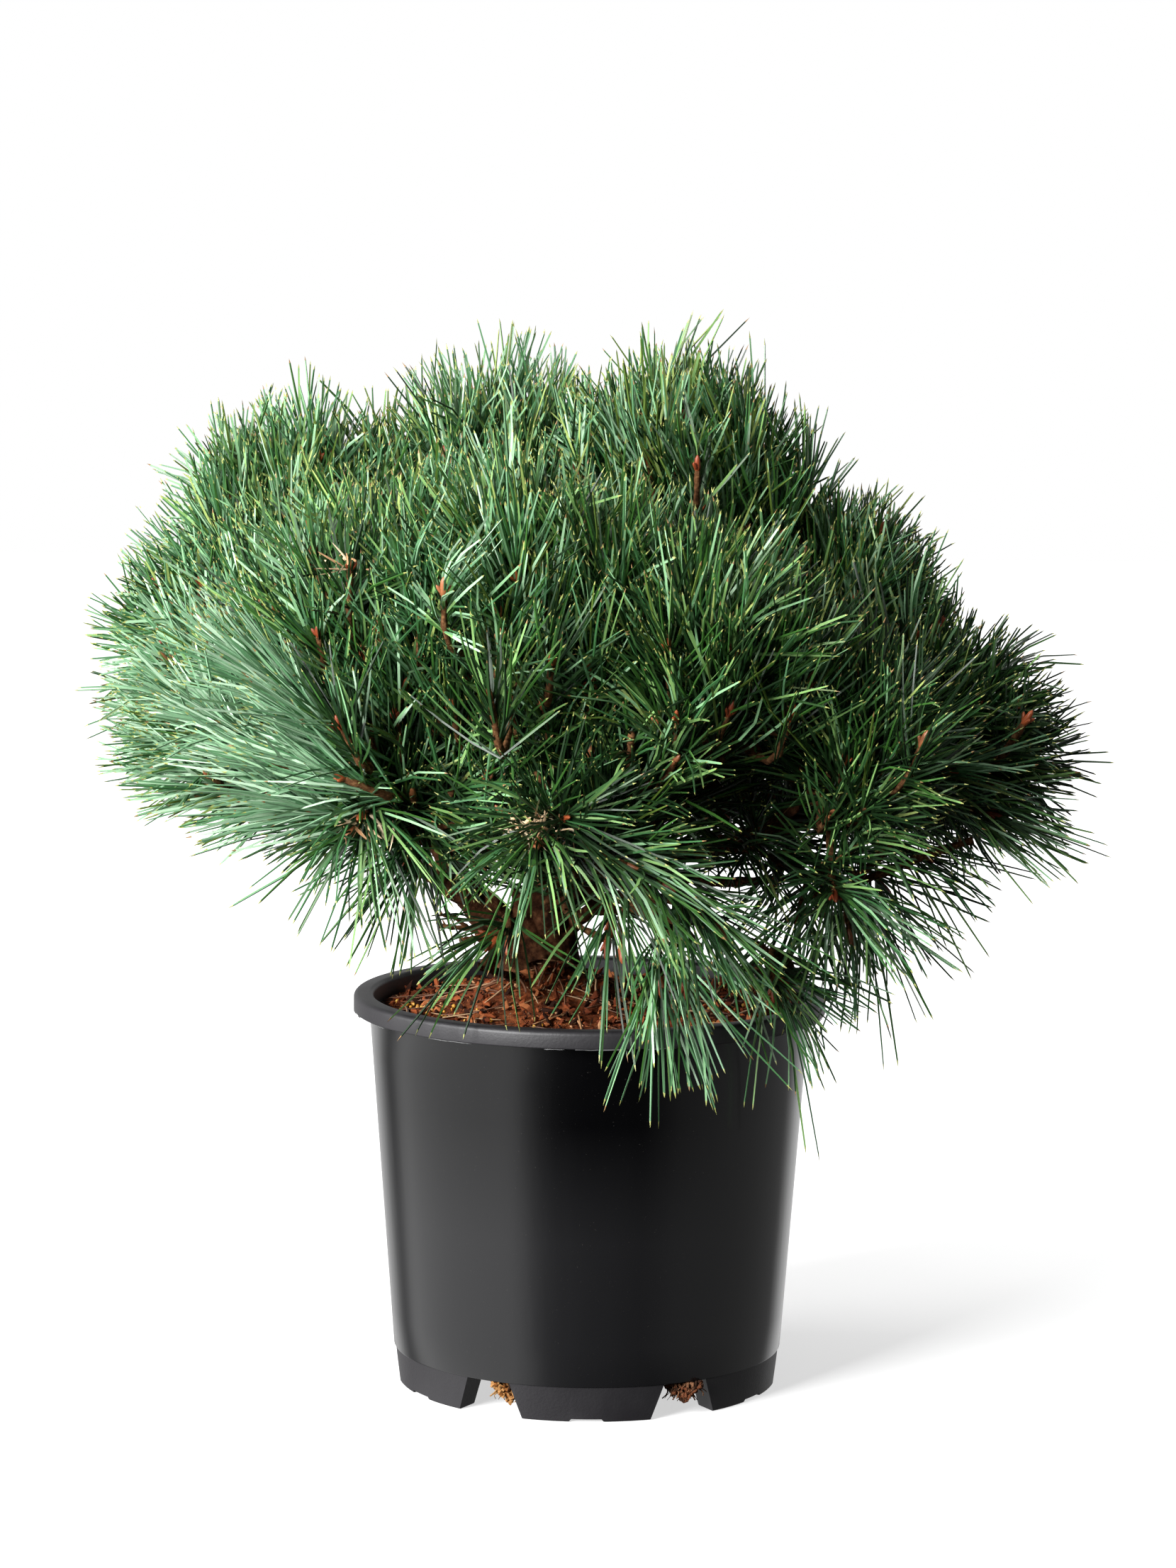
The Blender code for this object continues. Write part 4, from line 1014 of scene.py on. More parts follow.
def strips(roots, ways, bends, lengths, widths, flats, tones, base_tones, tip_tones, rings, thickness):
    """Tapering three-sided blades as arrays for joined_mesh. A ring is (share of length, of width)."""
    count, ring_count = len(roots), len(rings)
    made = np.empty((count, ring_count * 3 + 1, 3))
    for index, (t, wide) in enumerate(rings):
        centre = roots + (ways * t + bends * t * t) * lengths[:, None]
        along = unit(ways + 2 * bends * t)
        flat = unit(flats - along * np.sum(flats * along, axis=1, keepdims=True))
        side = np.cross(along, flat)
        half = (widths * wide / 2)[:, None]
        made[:, index * 3] = centre - side * half
        made[:, index * 3 + 1] = centre + side * half
        made[:, index * 3 + 2] = centre - flat * (thickness / widths)[:, None] * half * 2
    made[:, -1] = roots + (ways + bends) * lengths[:, None]
    corners, sizes, kinds = [2, 1, 0], [3], ["base round"]
    for ring in range(ring_count - 1):
        for side in range(3):
            low, high, after = ring * 3, ring * 3 + 3, (side + 1) % 3
            corners += [low + side, low + after, high + after, high + side]
            sizes.append(4)
            kinds.append(("base " if ring == 0 else "") + ("flat" if side == 0 else "round"))
    top = ring_count * 3 - 3
    for side in range(3):
        corners += [top + side, top + (side + 1) % 3, top + 3]
        sizes.append(3)
        kinds.append("tip")
    dealt = {
        "flat": tones * 2 + 1,
        "round": tones * 2,
        "base flat": base_tones * 2 + 1,
        "base round": base_tones * 2,
        "tip": tip_tones,
    }
    slots = np.stack([dealt[kind] for kind in kinds], axis=1)
    return made.reshape(-1, 3), repeated(corners, count, made.shape[1]), np.tile(sizes, count), slots.ravel()


def make_fallen():
    """Old needles and root fibres on the soil, tan and bent, and turned inwards where the wall is near."""
    dice = np.random.default_rng(13)
    count = FALLEN_COUNT + FIBRE_COUNT
    spots = spots_on_soil(dice, FALLEN_COUNT) + spots_on_soil(dice, FIBRE_COUNT, ROOT_MOUND_CENTRE, 0.030)
    turn = dice.uniform(0, math.tau, count)
    lengths = dice.uniform(*FALLEN_LENGTHS, count)
    lengths *= np.where(np.arange(count) < FALLEN_COUNT, 1.0, FIBRE_SHARE)
    roots = np.array([(x, y, soil_height(x, y) + 0.0026) for x, y in spots])
    ways = np.stack([np.cos(turn), np.sin(turn), np.zeros(count)], axis=1)
    ends = roots + ways * lengths[:, None]
    inward = np.hypot(ends[:, 0], ends[:, 1]) > WALL_INSIDE - 0.006
    ways[inward] = -ways[inward]
    ends = roots + ways * lengths[:, None]
    rise = np.array([soil_height(x, y) for x, y, _ in ends]) - np.array([soil_height(x, y) for x, y in spots])
    lift = dice.uniform(0.01, 0.10, count)
    ways[:, 2] = rise / lengths + lift
    curl = dice.uniform(-0.35, 0.35, count)
    bends = np.stack([-np.sin(turn) * curl, np.cos(turn) * curl, -lift * 0.8], axis=1)
    flats = np.array([0.0, 0.0, 1.0]) + dice.normal(scale=0.3, size=(count, 3))
    tones = dice.choice(3, count, p=(0.35, 0.25, 0.40))
    rings = [(0.0, 0.9), (0.2, 1.0), (0.4, 1.0), (0.6, 1.0), (0.8, 0.9), (0.95, 0.6)]
    widths = dice.uniform(*FALLEN_WIDTHS, count)
    arrays = strips(roots, ways, bends, lengths, widths, flats, tones, tones, tones * 2, rings, 0.0008)
    looks = two_faced("old_needle", FALLEN_TANS, 0.8, 0.6)
    settle(joined_mesh(*arrays), "fallen_needles", looks)


def across(direction):
    """Two unit vectors square to the direction and to each other."""
    side = direction.cross(UP)
    if side.length < 0.05:
        side = direction.cross(Vector((0, 1, 0)))
    side.normalize()
    return side, direction.cross(side).normalized()


def turned_off(way, angle, turn):
    """The way, tilted by an angle towards a turn about it."""
    side, other = across(way)
    return way * math.cos(angle) + (side * math.cos(turn) + other * math.sin(turn)) * math.sin(angle)


def bend(start, start_way, end, end_way, count):
    """Points of one smooth curve that leaves and arrives in the given ways."""
    reach = (end - start).length * 0.36
    a, b = start + start_way * reach, end - end_way * reach
    points = []
    for index in range(count):
        t = index / (count - 1)
        s = 1 - t
        points.append(start * s**3 + a * 3 * s * s * t + b * 3 * s * t * t + end * t**3)
    return points


def heading(mass):
    """The way that a mass's middle shoot points: out from the crown's heart, and up or down by its rise."""
    out = (Vector(mass.centre) - HEART).normalized()
    return (out + UP * mass.rise).normalized()


def on_axis(mass, share):
    """A place short of a mass's middle on its heading, by a share of its reach."""
    return Vector(mass.centre) - heading(mass) * mass.reach * share


def on_path(path, share):
    """The point, the way and the radius at a share of a limb's length."""
    points, radii = path
    place = share * (len(points) - 1)
    index = min(int(place), len(points) - 2)
    t = place - index
    way = (points[index + 1] - points[index]).normalized()
    return points[index].lerp(points[index + 1], t), way, radii[index] * (1 - t) + radii[index + 1] * t


def limb_paths():
    """Each limb's points and radii, from the trunk outwards, by the source's rule with more stations."""
    paths = {}
    for name, stations in STEMS.items():
        offsets, radii = zip(*stations)
        paths[name] = ([TRUNK_FOOT + Vector(offset) for offset in offsets], list(radii))
    last = BOUGH_STATIONS - 1
    for mass in MASSES:
        if mass.name in STALKLESS:
            continue
        start, way, _ = on_path(paths[mass.parent], mass.along)
        end = on_axis(mass, STEM_FOOT)
        leave = (way * 0.35 + (end - start).normalized()).normalized()
        tip = TIP_RADIUS.get(mass.name, max(mass.radius * 0.62, 0.0028))
        radii = [mass.radius + (tip - mass.radius) * index / last for index in range(BOUGH_STATIONS)]
        paths[mass.name + "_bough"] = (bend(start, leave, end, heading(mass), BOUGH_STATIONS), radii)
    return paths


def stem_of(mass, paths):
    """Both ends and the radius of a mass's own stem, which goes on from its bough or leaves the trunk."""
    start, whorl = on_axis(mass, STEM_FOOT), on_axis(mass, STEM_END)
    if mass.name in STALKLESS:
        point, _, thick = on_path(paths[mass.parent], mass.along)
        return point + (start - point).normalized() * thick * 0.6, whorl, mass.radius
    return start, whorl, paths[mass.name + "_bough"][1][-1]


def melted_limbs(limbs, voxel, reliefs):
    """Round tapering limbs from a curve with a spline for each, melted into one skin with bark's relief."""
    curve = bpy.data.curves.new("limbs", "CURVE")
    curve.dimensions = "3D"
    curve.bevel_depth = 1.0
    curve.bevel_resolution = 3
    curve.use_fill_caps = True
    for points, radii in limbs:
        spline = curve.splines.new("POLY")
        spline.points.add(len(points) - 1)
        for knot, point, radius in zip(spline.points, points, radii):
            knot.co = (*point, 1)
            knot.radius = radius
    pick(new_object("limbs", curve))
    bpy.ops.object.convert(target="MESH")
    obj = bpy.context.object
    apply_modifier(obj, "REMESH", mode="VOXEL", voxel_size=voxel)
    apply_modifier(obj, "SMOOTH", factor=0.5, iterations=3)
    for size, strength, kind in reliefs:
        relief = bpy.data.textures.new("relief", kind)
        relief.noise_scale = size
        if kind == "CLOUDS":
            relief.noise_depth = 4
        apply_modifier(obj, "DISPLACE", texture=relief, strength=strength, mid_level=0.5)
    obj.data.shade_smooth()
    return obj


def make_trunk(paths):
    """The flare and both stems, fused, with knobs where old branches were cut and rough bark."""
    limbs = []
    for name in STEMS:
        points, radii = paths[name]
        limbs.append(([points[0] - UP * 0.004] + points[1:], radii))
    for root in range(ROOT_COUNT):
        turn = root * math.tau / ROOT_COUNT + 0.5
        out = Vector((math.cos(turn), math.sin(turn), 0))
        middle = TRUNK_FOOT + out * 0.010
        places, radii = zip(*ROOT_STATIONS)
        limbs.append(([middle + out * along + UP * up for along, up in places], radii))
    places, radii = zip(*CROTCH)
    limbs.append(([TRUNK_FOOT + Vector(place) for place in places], radii))
    for offset, way, radius in KNOBS:
        start = TRUNK_FOOT + Vector(offset) - Vector(way) * 0.004
        end = start + Vector(way).normalized() * 0.012
        limbs.append(([start, start.lerp(end, 0.6), end], [radius, radius * 1.05, radius * 0.55]))
    trunk = melted_limbs(limbs, TRUNK_VOXEL, TRUNK_RELIEF)
    settle(trunk, "trunk_bark", [pine_bark()], ["trunk"])


def make_boughs(paths):
    """All boughs, each running on into its mass's own stem, fused where they leave one another."""
    dice = random.Random(21)
    limbs, nodes = [], []
    for mass in MASSES:
        start, whorl, thick = stem_of(mass, paths)
        if mass.name in STALKLESS:
            limbs.append(([start, start.lerp(whorl, 0.5), whorl], [thick, thick * 0.85, TWIG_RADIUS * 1.2]))
            continue
        nodes.append(mass.name + "_bough")
        points, radii = paths[nodes[-1]]
        points = [point.copy() for point in points]
        radii = [radius * (1 + dice.uniform(-0.10, 0.14)) for radius in radii]
        for index in range(2, len(points) - 1):
            points[index] += wobble(dice.uniform, -0.0012, 0.0012)
        points += [start.lerp(whorl, 0.33), start.lerp(whorl, 0.66), whorl]
        limbs.append((points, radii + [thick * 0.92, thick * 0.80, TWIG_RADIUS * 1.3]))
    settle(melted_limbs(limbs, BOUGH_VOXEL, BOUGH_RELIEF), "bough_bark", [pine_bark()], nodes)


def wobble(draw, *spread):
    """A vector with a random draw along each axis."""
    return Vector([draw(*spread) for _ in range(3)])


def depth_in_cell(mass, point):
    """How far inside its mass's cell a point is, and below 0 outside it."""
    centre = np.array(mass.centre)
    mine = np.sum((np.array(point) - centre) ** 2) - mass.reach**2
    least = 1.0
    for other in MASSES:
        if other is not mass:
            theirs = np.sum((np.array(point) - np.array(other.centre)) ** 2) - other.reach**2
            least = min(least, (theirs - mine) / (2 * np.linalg.norm(np.array(other.centre) - centre)))
    return least


def clear_of_pot(points, margin):
    """True for each point that is above the rim or the soil, or outside the pot."""
    out = np.hypot(points[..., 0], points[..., 1])
    over_rim = points[..., 2] > POT_HEIGHT + margin
    beside = (out > RIM_RADIUS + margin + 0.001) & (points[..., 2] > 0.05)
    over_soil = (out < WALL_TOP_RADIUS - 0.008) & (points[..., 2] > SOIL_TOP + 0.003 + margin)
    return over_rim | beside | over_soil


def habit_of(mass):
    return RISING if mass.rise > 0.25 else LEVEL


def lean_of(mass, out, dice, wildness):
    """The way of a shoot where its mass's skin faces out, with some chance. Rising masses turn theirs up."""
    upright = max(0.0, min(1.0, (mass.rise + 0.05) / 0.35))
    lift = 0.15 * (mass.rise + 0.4) + UPRIGHT_LIFT * upright
    lean = (out * (0.80 - 0.38 * upright) + heading(mass) * 0.22 + UP * lift).normalized()
    return (lean + wobble(dice.gauss, 0, wildness)).normalized()


def cap_shoots(mass, dice):
    """Shoots by the source's spiral cap, closer together, and a second cap inside it."""
    way = heading(mass)
    shell = mass.reach - min(BUD_DEPTH, mass.reach * 0.55)
    layers = ((1.0, SHOOT_SPACING, CAP_ANGLE), (INNER_SHARE, INNER_SPACING, CAP_ANGLE * 1.15))
    for rank, (share, spacing, cap_angle) in enumerate(layers):
        cap = 1 - math.cos(cap_angle)
        count = max(5, round(2 * math.pi * cap * shell**2 / spacing**2))
        for index in range(count):
            angle = math.acos(max(-1.0, 1 - cap * (index + 0.25) / count)) + dice.uniform(-0.12, 0.12)
            out = turned_off(way, angle, index * GOLDEN_ANGLE + dice.uniform(-0.35, 0.35))
            lean = lean_of(mass, out, dice, 0.16)
            depth = dice.uniform(0.70, 1.12)
            bud = Vector(mass.centre) + out * shell * share * depth
            length = max(shell * SHOOT_SHARE * depth, SHORTEST_SHOOT)
            yield Shoot(bud - lean * length, bud, rank, habit_of(mass))


def valley_shoots(mass, dice):
    """Shoots in the valleys where this mass's skin meets that of a later mass, facing out of the crown."""
    centre = Vector(mass.centre)
    for other in MASSES[MASSES.index(mass) + 1 :]:
        span = Vector(other.centre) - centre
        reach = (mass.reach + other.reach) / 2
        if span.length > VALLEY_REACH * reach or other.name in HAND_SET:
            continue
        middle = centre.lerp(Vector(other.centre), 0.5)
        rise = math.sqrt(reach**2 - (span.length / 2) ** 2) - BELOW_VALLEY
        side, across_it = across(span.normalized())
        for index in range(VALLEY_TURNS):
            turn = (index + dice.uniform(0, 0.6)) * math.tau / VALLEY_TURNS
            out = side * math.cos(turn) + across_it * math.sin(turn)
            if out.dot((middle - HEART).normalized()) >= 0.15:
                bud = middle + out * max(rise, 0.01) * dice.uniform(0.9, 1.1)
                lean = lean_of(mass, out, dice, 0.14)
                yield Shoot(bud - lean * VALLEY_SHOOT, bud, SKIN_RANK, habit_of(mass))


def side_shoots(mass, path, dice):
    """Short shoots along the outer half of a bough, deep inside the crown."""
    for index in range(SIDE_SHOOTS):
        point, way, _ = on_path(path, 0.50 + 0.50 * (index + dice.uniform(0, 1)) / SIDE_SHOOTS)
        angle = math.radians(dice.uniform(*SIDE_ANGLES))
        lean = turned_off(way, angle, index * GOLDEN_ANGLE + dice.uniform(-0.4, 0.4))
        bud = point + (lean + UP * 0.15).normalized() * dice.uniform(*SIDE_LENGTHS)
        yield Shoot(point, bud, INNER_RANK, habit_of(mass))


def dip_shoots(mass, dice):
    """Shoots in the dip between the crown's upper tier and its front one, which close it from above."""
    for name, first, last, count in DIPS:
        for index in range(count if name == mass.name else 0):
            bud = Vector(first).lerp(Vector(last), (index + dice.uniform(0, 1)) / count)
            bud += Vector((0, 0.024, -0.030)) * (index % 3) + wobble(dice.uniform, -0.008, 0.008)
            lean = Vector((dice.gauss(0, 0.25), dice.gauss(-0.30, 0.20), 1.0)).normalized()
            yield Shoot(bud - lean * DIP_SHOOT, bud, INNER_RANK, RISING)


def sprays_of(mass):
    """The listed sprays of a mass."""
    for habit, bud, way, length in SPRAYS.get(mass.name, ()):
        rank = CANDLE_RANK if habit == CANDLE else FREE_RANK
        yield Shoot(Vector(bud) - Vector(way).normalized() * length, Vector(bud), rank, habit)


def shoots_of(mass, paths):
    """The shoots of a mass: its listed sprays, and the others that have room."""
    dice = random.Random(mass.name)
    shoots = list(sprays_of(mass))
    if mass.name in HAND_SET:
        return shoots
    wanted = [(shoot, CAP_DEPTH) for shoot in cap_shoots(mass, dice)]
    wanted += [(shoot, VALLEY_DEPTH) for shoot in valley_shoots(mass, dice)]
    wanted += [(shoot, ANY_DEPTH) for shoot in side_shoots(mass, paths[mass.name + "_bough"], dice)]
    wanted += [(shoot, ANY_DEPTH) for shoot in dip_shoots(mass, dice)]
    taken = list(HOLLOWS)
    for habit, bud, _, _ in sum(SPRAYS.values(), []):
        taken.append((bud, CANDLE_ROOM if habit == CANDLE else SPRAY_ROOM))
    done = set()
    for shoot, least in wanted:
        place = tuple(round(part / CELL) for part in shoot.bud)
        if place in done or depth_in_cell(mass, shoot.bud) < least:
            continue
        if any((shoot.bud - Vector(middle)).length < radius for middle, radius in taken):
            continue
        if clear_of_pot(np.array([shoot.foot, shoot.foot.lerp(shoot.bud, 0.5), shoot.bud]), 0.004).all():
            shoots.append(shoot)
            done.add(place)
    return shoots


def needle_arrays(mass, shoots, habit, dice):
    """The needles of a mass's shoots of one habit, in pairs, as arrays: their roots, ways, bends, lengths,
    flat sides, the tones of their sprays, ranks, and how far they may pass the mass's skin."""
    pairs = habit.pairs
    feet, buds = (np.array([getattr(shoot, end) for shoot in shoots]) for end in ("foot", "bud"))
    axis = unit(buds - feet)
    side = unit(np.cross(axis, np.where(np.abs(axis[:, 2:]) > 0.95, [[0.0, 1.0, 0.0]], [[0.0, 0.0, 1.0]])))
    other = np.cross(axis, side)
    share = ((np.arange(pairs) + 0.5) / pairs)[None]
    share = np.clip(share + dice.normal(scale=0.02, size=(len(shoots), pairs)), 0, 1)
    turn = (np.arange(pairs) * GOLDEN_ANGLE)[None] + dice.uniform(0, math.tau, (len(shoots), 1))
    turn = (turn + dice.normal(scale=0.25, size=turn.shape))[..., None]
    angle = np.radians(habit.foot_angle + (habit.bud_angle - habit.foot_angle) * share**0.8)
    angle = np.abs(angle + dice.normal(scale=0.19, size=share.shape))[..., None]
    radial = side[:, None] * np.cos(turn) + other[:, None] * np.sin(turn)
    way = axis[:, None] * np.cos(angle) + radial * np.sin(angle)
    if habit.follows:
        way = way + np.array([0, 0, 1]) * (0.34 * max(0.0, mass.rise + 0.1) + 0.04)
    if habit.follows and mass.name in SWEEPS:
        sweep, strength = SWEEPS[mass.name]
        way = way + np.array(sweep) * strength
    way = unit(way).reshape(-1, 3)
    root = (feet[:, None] + (buds - feet)[:, None] * (0.10 + 0.88 * share)[..., None]).reshape(-1, 3)
    length = habit.length * dice.uniform(0.76, 1.08, share.shape) * (0.88 + 0.12 * np.sin(math.pi * share))
    spray_tone = dice.normal(scale=0.65, size=(len(shoots), 1)) * np.ones_like(share)
    ragged = dice.normal(scale=RAGGEDNESS, size=(len(shoots), 1)).clip(*RAGGED_LIMITS)
    ragged = ragged + dice.normal(scale=0.004, size=share.shape)
    rank = np.repeat([shoot.rank for shoot in shoots], pairs)
    turned_by = np.repeat(dice.normal(scale=0.10, size=(len(shoots), 3)), pairs, axis=0)

    count = share.size
    spin = dice.normal(size=(count, 3))
    spin = unit(spin - way * np.sum(spin * way, axis=1, keepdims=True))
    part = np.radians(dice.uniform(2.5, 7.5, count))[:, None]
    curve = dice.normal(scale=0.15, size=(count, 3)) + turned_by + np.repeat(axis, pairs, axis=0) * 0.05
    curve = curve + np.array([0, 0, habit.sag])
    rows = []
    for hand in (-1, 1):
        own_way = way * np.cos(part) + spin * np.sin(part) * hand
        own_bend = curve - spin * hand * dice.uniform(-0.02, 0.05, (count, 1))
        flats = -spin * hand * 0.6 + dice.normal(scale=0.75, size=(count, 3))
        own_length = length.ravel() * dice.uniform(0.95, 1.02, count)
        rows.append((root, own_way, own_bend, own_length, flats, spray_tone.ravel(), rank, ragged.ravel()))
    return [np.concatenate(column) for column in zip(*rows)]


def needle_tones(mass, roots, spray_tone, rank, dice):
    """Deals each needle one of the greens: paler to the left, higher and outside, deeper to the right and
    inside, as painted light and shade.
    """
    olive = list(GREENS).index("olive")
    # Painted light and shade: paler towards the lamps at the left and higher up, deeper for shoots inside the
    # crown
    middle = 1.75 - 3.4 * roots[:, 0] + 1.0 * (roots[:, 2] - 0.40) + PAINTED_LIGHT_SHIFT.get(mass.name, 0)
    value = middle + spray_tone - 1.6 * np.maximum(rank, 0) - 1.5 * (rank == CANDLE_RANK)
    value += dice.normal(scale=0.80, size=len(roots))
    tone = np.clip(np.round(value), 0, olive - 1).astype(int)
    golden = OLIVE_SHARE + OLIVE_RISE * np.maximum(0, roots[:, 2] - OLIVE_FROM)
    tone[(dice.uniform(size=len(roots)) < golden) & (rank >= SKIN_RANK)] = olive
    return tone


def trimmed(mass, roots, ways, bends, lengths, rank, ragged):
    """The needles' lengths, cut back at the front and, but for free sprays, at the mass's skin."""
    out = np.linalg.norm(roots + (ways + bends) * lengths[:, None] - np.array(mass.centre), axis=1)
    limit = mass.reach + SPILL - PULLED_IN.get(mass.name, 0)
    if mass.name not in HAND_SET:
        cut = lengths * np.clip(1 - (out - limit - ragged) / SPILL_SOFTNESS, 0.30, 1.0)
        lengths = np.where(rank == FREE_RANK, lengths, cut)
    return np.minimum(lengths, (roots[:, 1] - FRONT) / np.maximum(-(ways + bends)[:, 1], 0.001))


def needles_kept(mass, roots, ways, bends, lengths, rank, dice):
    """True for each needle that is long enough, clear of pot and hollows, and not one hanging too many."""
    shares = np.linspace(0.1, 1, 7)[None, :, None]
    along = roots[:, None] + (ways[:, None] * shares + bends[:, None] * shares**2) * lengths[:, None, None]
    keep = clear_of_pot(along, 0.0008).all(axis=1) & (lengths > NEEDLE_LENGTH * NEEDLE_SHORTEST)
    set_by_hand = rank < SKIN_RANK
    for middle, radius in HOLLOWS:
        keep &= (np.linalg.norm(along[:, -1] - np.array(middle), axis=1) > radius) | set_by_hand
    low = along[:, -1, 2] < OPEN_BELOW.get(mass.name, 0)
    return keep & (~low | set_by_hand | (dice.uniform(size=len(roots)) < HANGING_SHARE))


def make_needles(looks, shoots_by_mass):
    """Each mass's needles as one joined piece that stands for the mass's node."""
    fresh, silver, olive = (list(GREENS).index(name) for name in ("fresh", "silver", "olive"))
    for seed, mass in enumerate(MASSES):
        dice = np.random.default_rng(1000 + seed)
        shoots = shoots_by_mass[mass.name]
        rows = []
        for habit in dict.fromkeys(shoot.habit for shoot in shoots):
            rows.append(needle_arrays(mass, [shoot for shoot in shoots if shoot.habit == habit], habit, dice))
        joined = [np.concatenate(column) for column in zip(*rows)]
        roots, ways, bends, lengths, flats, spray_tone, rank, ragged = joined
        lengths = trimmed(mass, roots, ways, bends, lengths, rank, ragged)
        keep = needles_kept(mass, roots, ways, bends, lengths, rank, dice)
        tones = needle_tones(mass, roots, spray_tone, rank, dice)
        # Painted shade: each needle's lowest segment gets a deeper green than the rest, as if shaded near its
        # twig
        shaded_base = np.where(tones == silver, tones - 1, np.maximum(tones - 2, 0))
        base_tones = np.where(tones == olive, fresh, shaded_base)
        tip_tones = len(GREENS) * 2 + (dice.uniform(size=len(roots)) < BROWN_TIPS)
        widths = NEEDLE_WIDTH * dice.uniform(0.82, 1.12, len(roots))
        picked = [a[keep] for a in (roots, ways, bends, lengths, widths, flats, tones, base_tones, tip_tones)]
        needles = joined_mesh(*strips(*picked, NEEDLE_RINGS, NEEDLE_THICKNESS), smooth=False)
        settle(needles, mass.name + "_needles", looks, [mass.name])


def make_tubes(name, centres, widths, sides, looks, tones=None):
    """Round tubes as one piece, from rows of as many points and radii each, and a tone for each row."""
    paths, radii = np.array(centres), np.array(widths)
    count, stations = radii.shape
    along = unit(np.gradient(paths, axis=1))
    helper = np.where(np.abs(along[:, :1, 2:]) > 0.9, [[[0.0, 1.0, 0.0]]], [[[0.0, 0.0, 1.0]]])
    side = unit(np.cross(along, np.broadcast_to(helper, along.shape)))
    other = np.cross(along, side)
    turns = (np.arange(sides) * math.tau / sides)[None, None, :, None]
    ring = side[:, :, None] * np.cos(turns) + other[:, :, None] * np.sin(turns)
    points = paths[:, :, None] + ring * radii[:, :, None, None]
    corners, sizes = list(range(sides))[::-1], [sides]
    for station in range(stations - 1):
        for corner in range(sides):
            low, high, after = station * sides, (station + 1) * sides, (corner + 1) % sides
            corners += [low + corner, low + after, high + after, high + corner]
            sizes.append(4)
    corners += [(stations - 1) * sides + corner for corner in range(sides)]
    sizes.append(sides)
    loops = repeated(corners, count, stations * sides)
    slots = np.repeat(tones if tones else [0] * count, len(sizes))
    settle(joined_mesh(points.reshape(-1, 3), loops, np.tile(sizes, count), slots), name, looks)


def make_twigs(paths, shoots_by_mass):
    """A twig for every shoot: it leaves the mass's stem, bends to the shoot's foot and runs up to the bud."""
    dice = random.Random(31)
    centres, widths = [], []
    for mass in MASSES:
        start, whorl, _ = stem_of(mass, paths)
        for foot, bud, _, _ in shoots_by_mass[mass.name]:
            fork = start.lerp(whorl, dice.uniform(0.45, 0.98))
            leave = ((foot - fork).normalized() + (whorl - start).normalized() * 0.6).normalized()
            curve = bend(fork, leave, foot.lerp(bud, 0.35), (bud - foot).normalized(), TWIG_STATIONS - 3)
            centres.append(curve + [foot.lerp(bud, 0.6), foot.lerp(bud, 0.82), bud])
            scale = dice.uniform(0.85, 1.15)
            row = []
            for station in range(TWIG_STATIONS):
                knot = TWIG_KNOTS[station % 2]
                row.append(TWIG_RADIUS * scale * knot * (1.15 - 0.30 * station / (TWIG_STATIONS - 1)))
            widths.append(row)
    make_tubes("twigs", centres, widths, TWIG_SIDES, [twig_bark()])


def make_bare_twigs():
    """Old twigs without needles near the trunk, knobbly with the stubs of needle bundles."""
    dice = random.Random(33)
    centres, widths = [], []
    last = BARE_STATIONS - 1
    for knots, radius in BARE_TWIGS:
        knots = [Vector(knot) for knot in knots]
        row = []
        for index in range(BARE_STATIONS):
            place = index / last * (len(knots) - 1)
            low = min(int(place), len(knots) - 2)
            row.append(knots[low].lerp(knots[low + 1], place - low))
        centres.append(row)
        rough = [BARE_KNOTS[index % 2] * dice.uniform(0.9, 1.1) for index in range(BARE_STATIONS)]
        tapers = [1.1 - 0.35 * index / BARE_STATIONS for index in range(BARE_STATIONS)]
        widths.append([radius * scale * taper for scale, taper in zip(rough, tapers)])
        for index in range(2, last):
            way = (row[index + 1] - row[index]).normalized()
            out = turned_off(way, math.radians(STUB_ANGLE), index * GOLDEN_ANGLE)
            steps = range(BARE_STATIONS)
            centres.append([row[index] + out * radius * STUB_LENGTH * step / last for step in steps])
            widths.append([radius * (0.42 - 0.22 * step / last) for step in steps])
    make_tubes("bare_twigs", centres, widths, TWIG_SIDES, [twig_bark()])


def make_flash():
    """Short broken threads of mould flash along the rim's lower edge."""
    dice = random.Random(51)
    centres, widths = [], []
    turn = 0.0
    while turn < math.tau:
        span = dice.uniform(*FLASH_SPANS)
        if dice.random() < FLASH_CHANCE:
            row = []
            for index in range(FLASH_STATIONS):
                angle = turn + span * index / (FLASH_STATIONS - 1)
                radius = RIM_RADIUS - 0.0003 + dice.uniform(-0.0001, 0.0001)
                height = RIM_FOOT - 0.0001 + dice.uniform(-0.00015, 0.0001)
                row.append((radius * math.cos(angle), radius * math.sin(angle), height))
            centres.append(row)
            middle = [dice.uniform(0.00020, 0.00036) for _ in range(FLASH_STATIONS - 2)]
            widths.append([0.00012] + middle + [0.00012])
        turn += span + dice.uniform(*FLASH_GAPS)
    make_tubes("rim_flash", centres, widths, 5, [torn_plastic()])


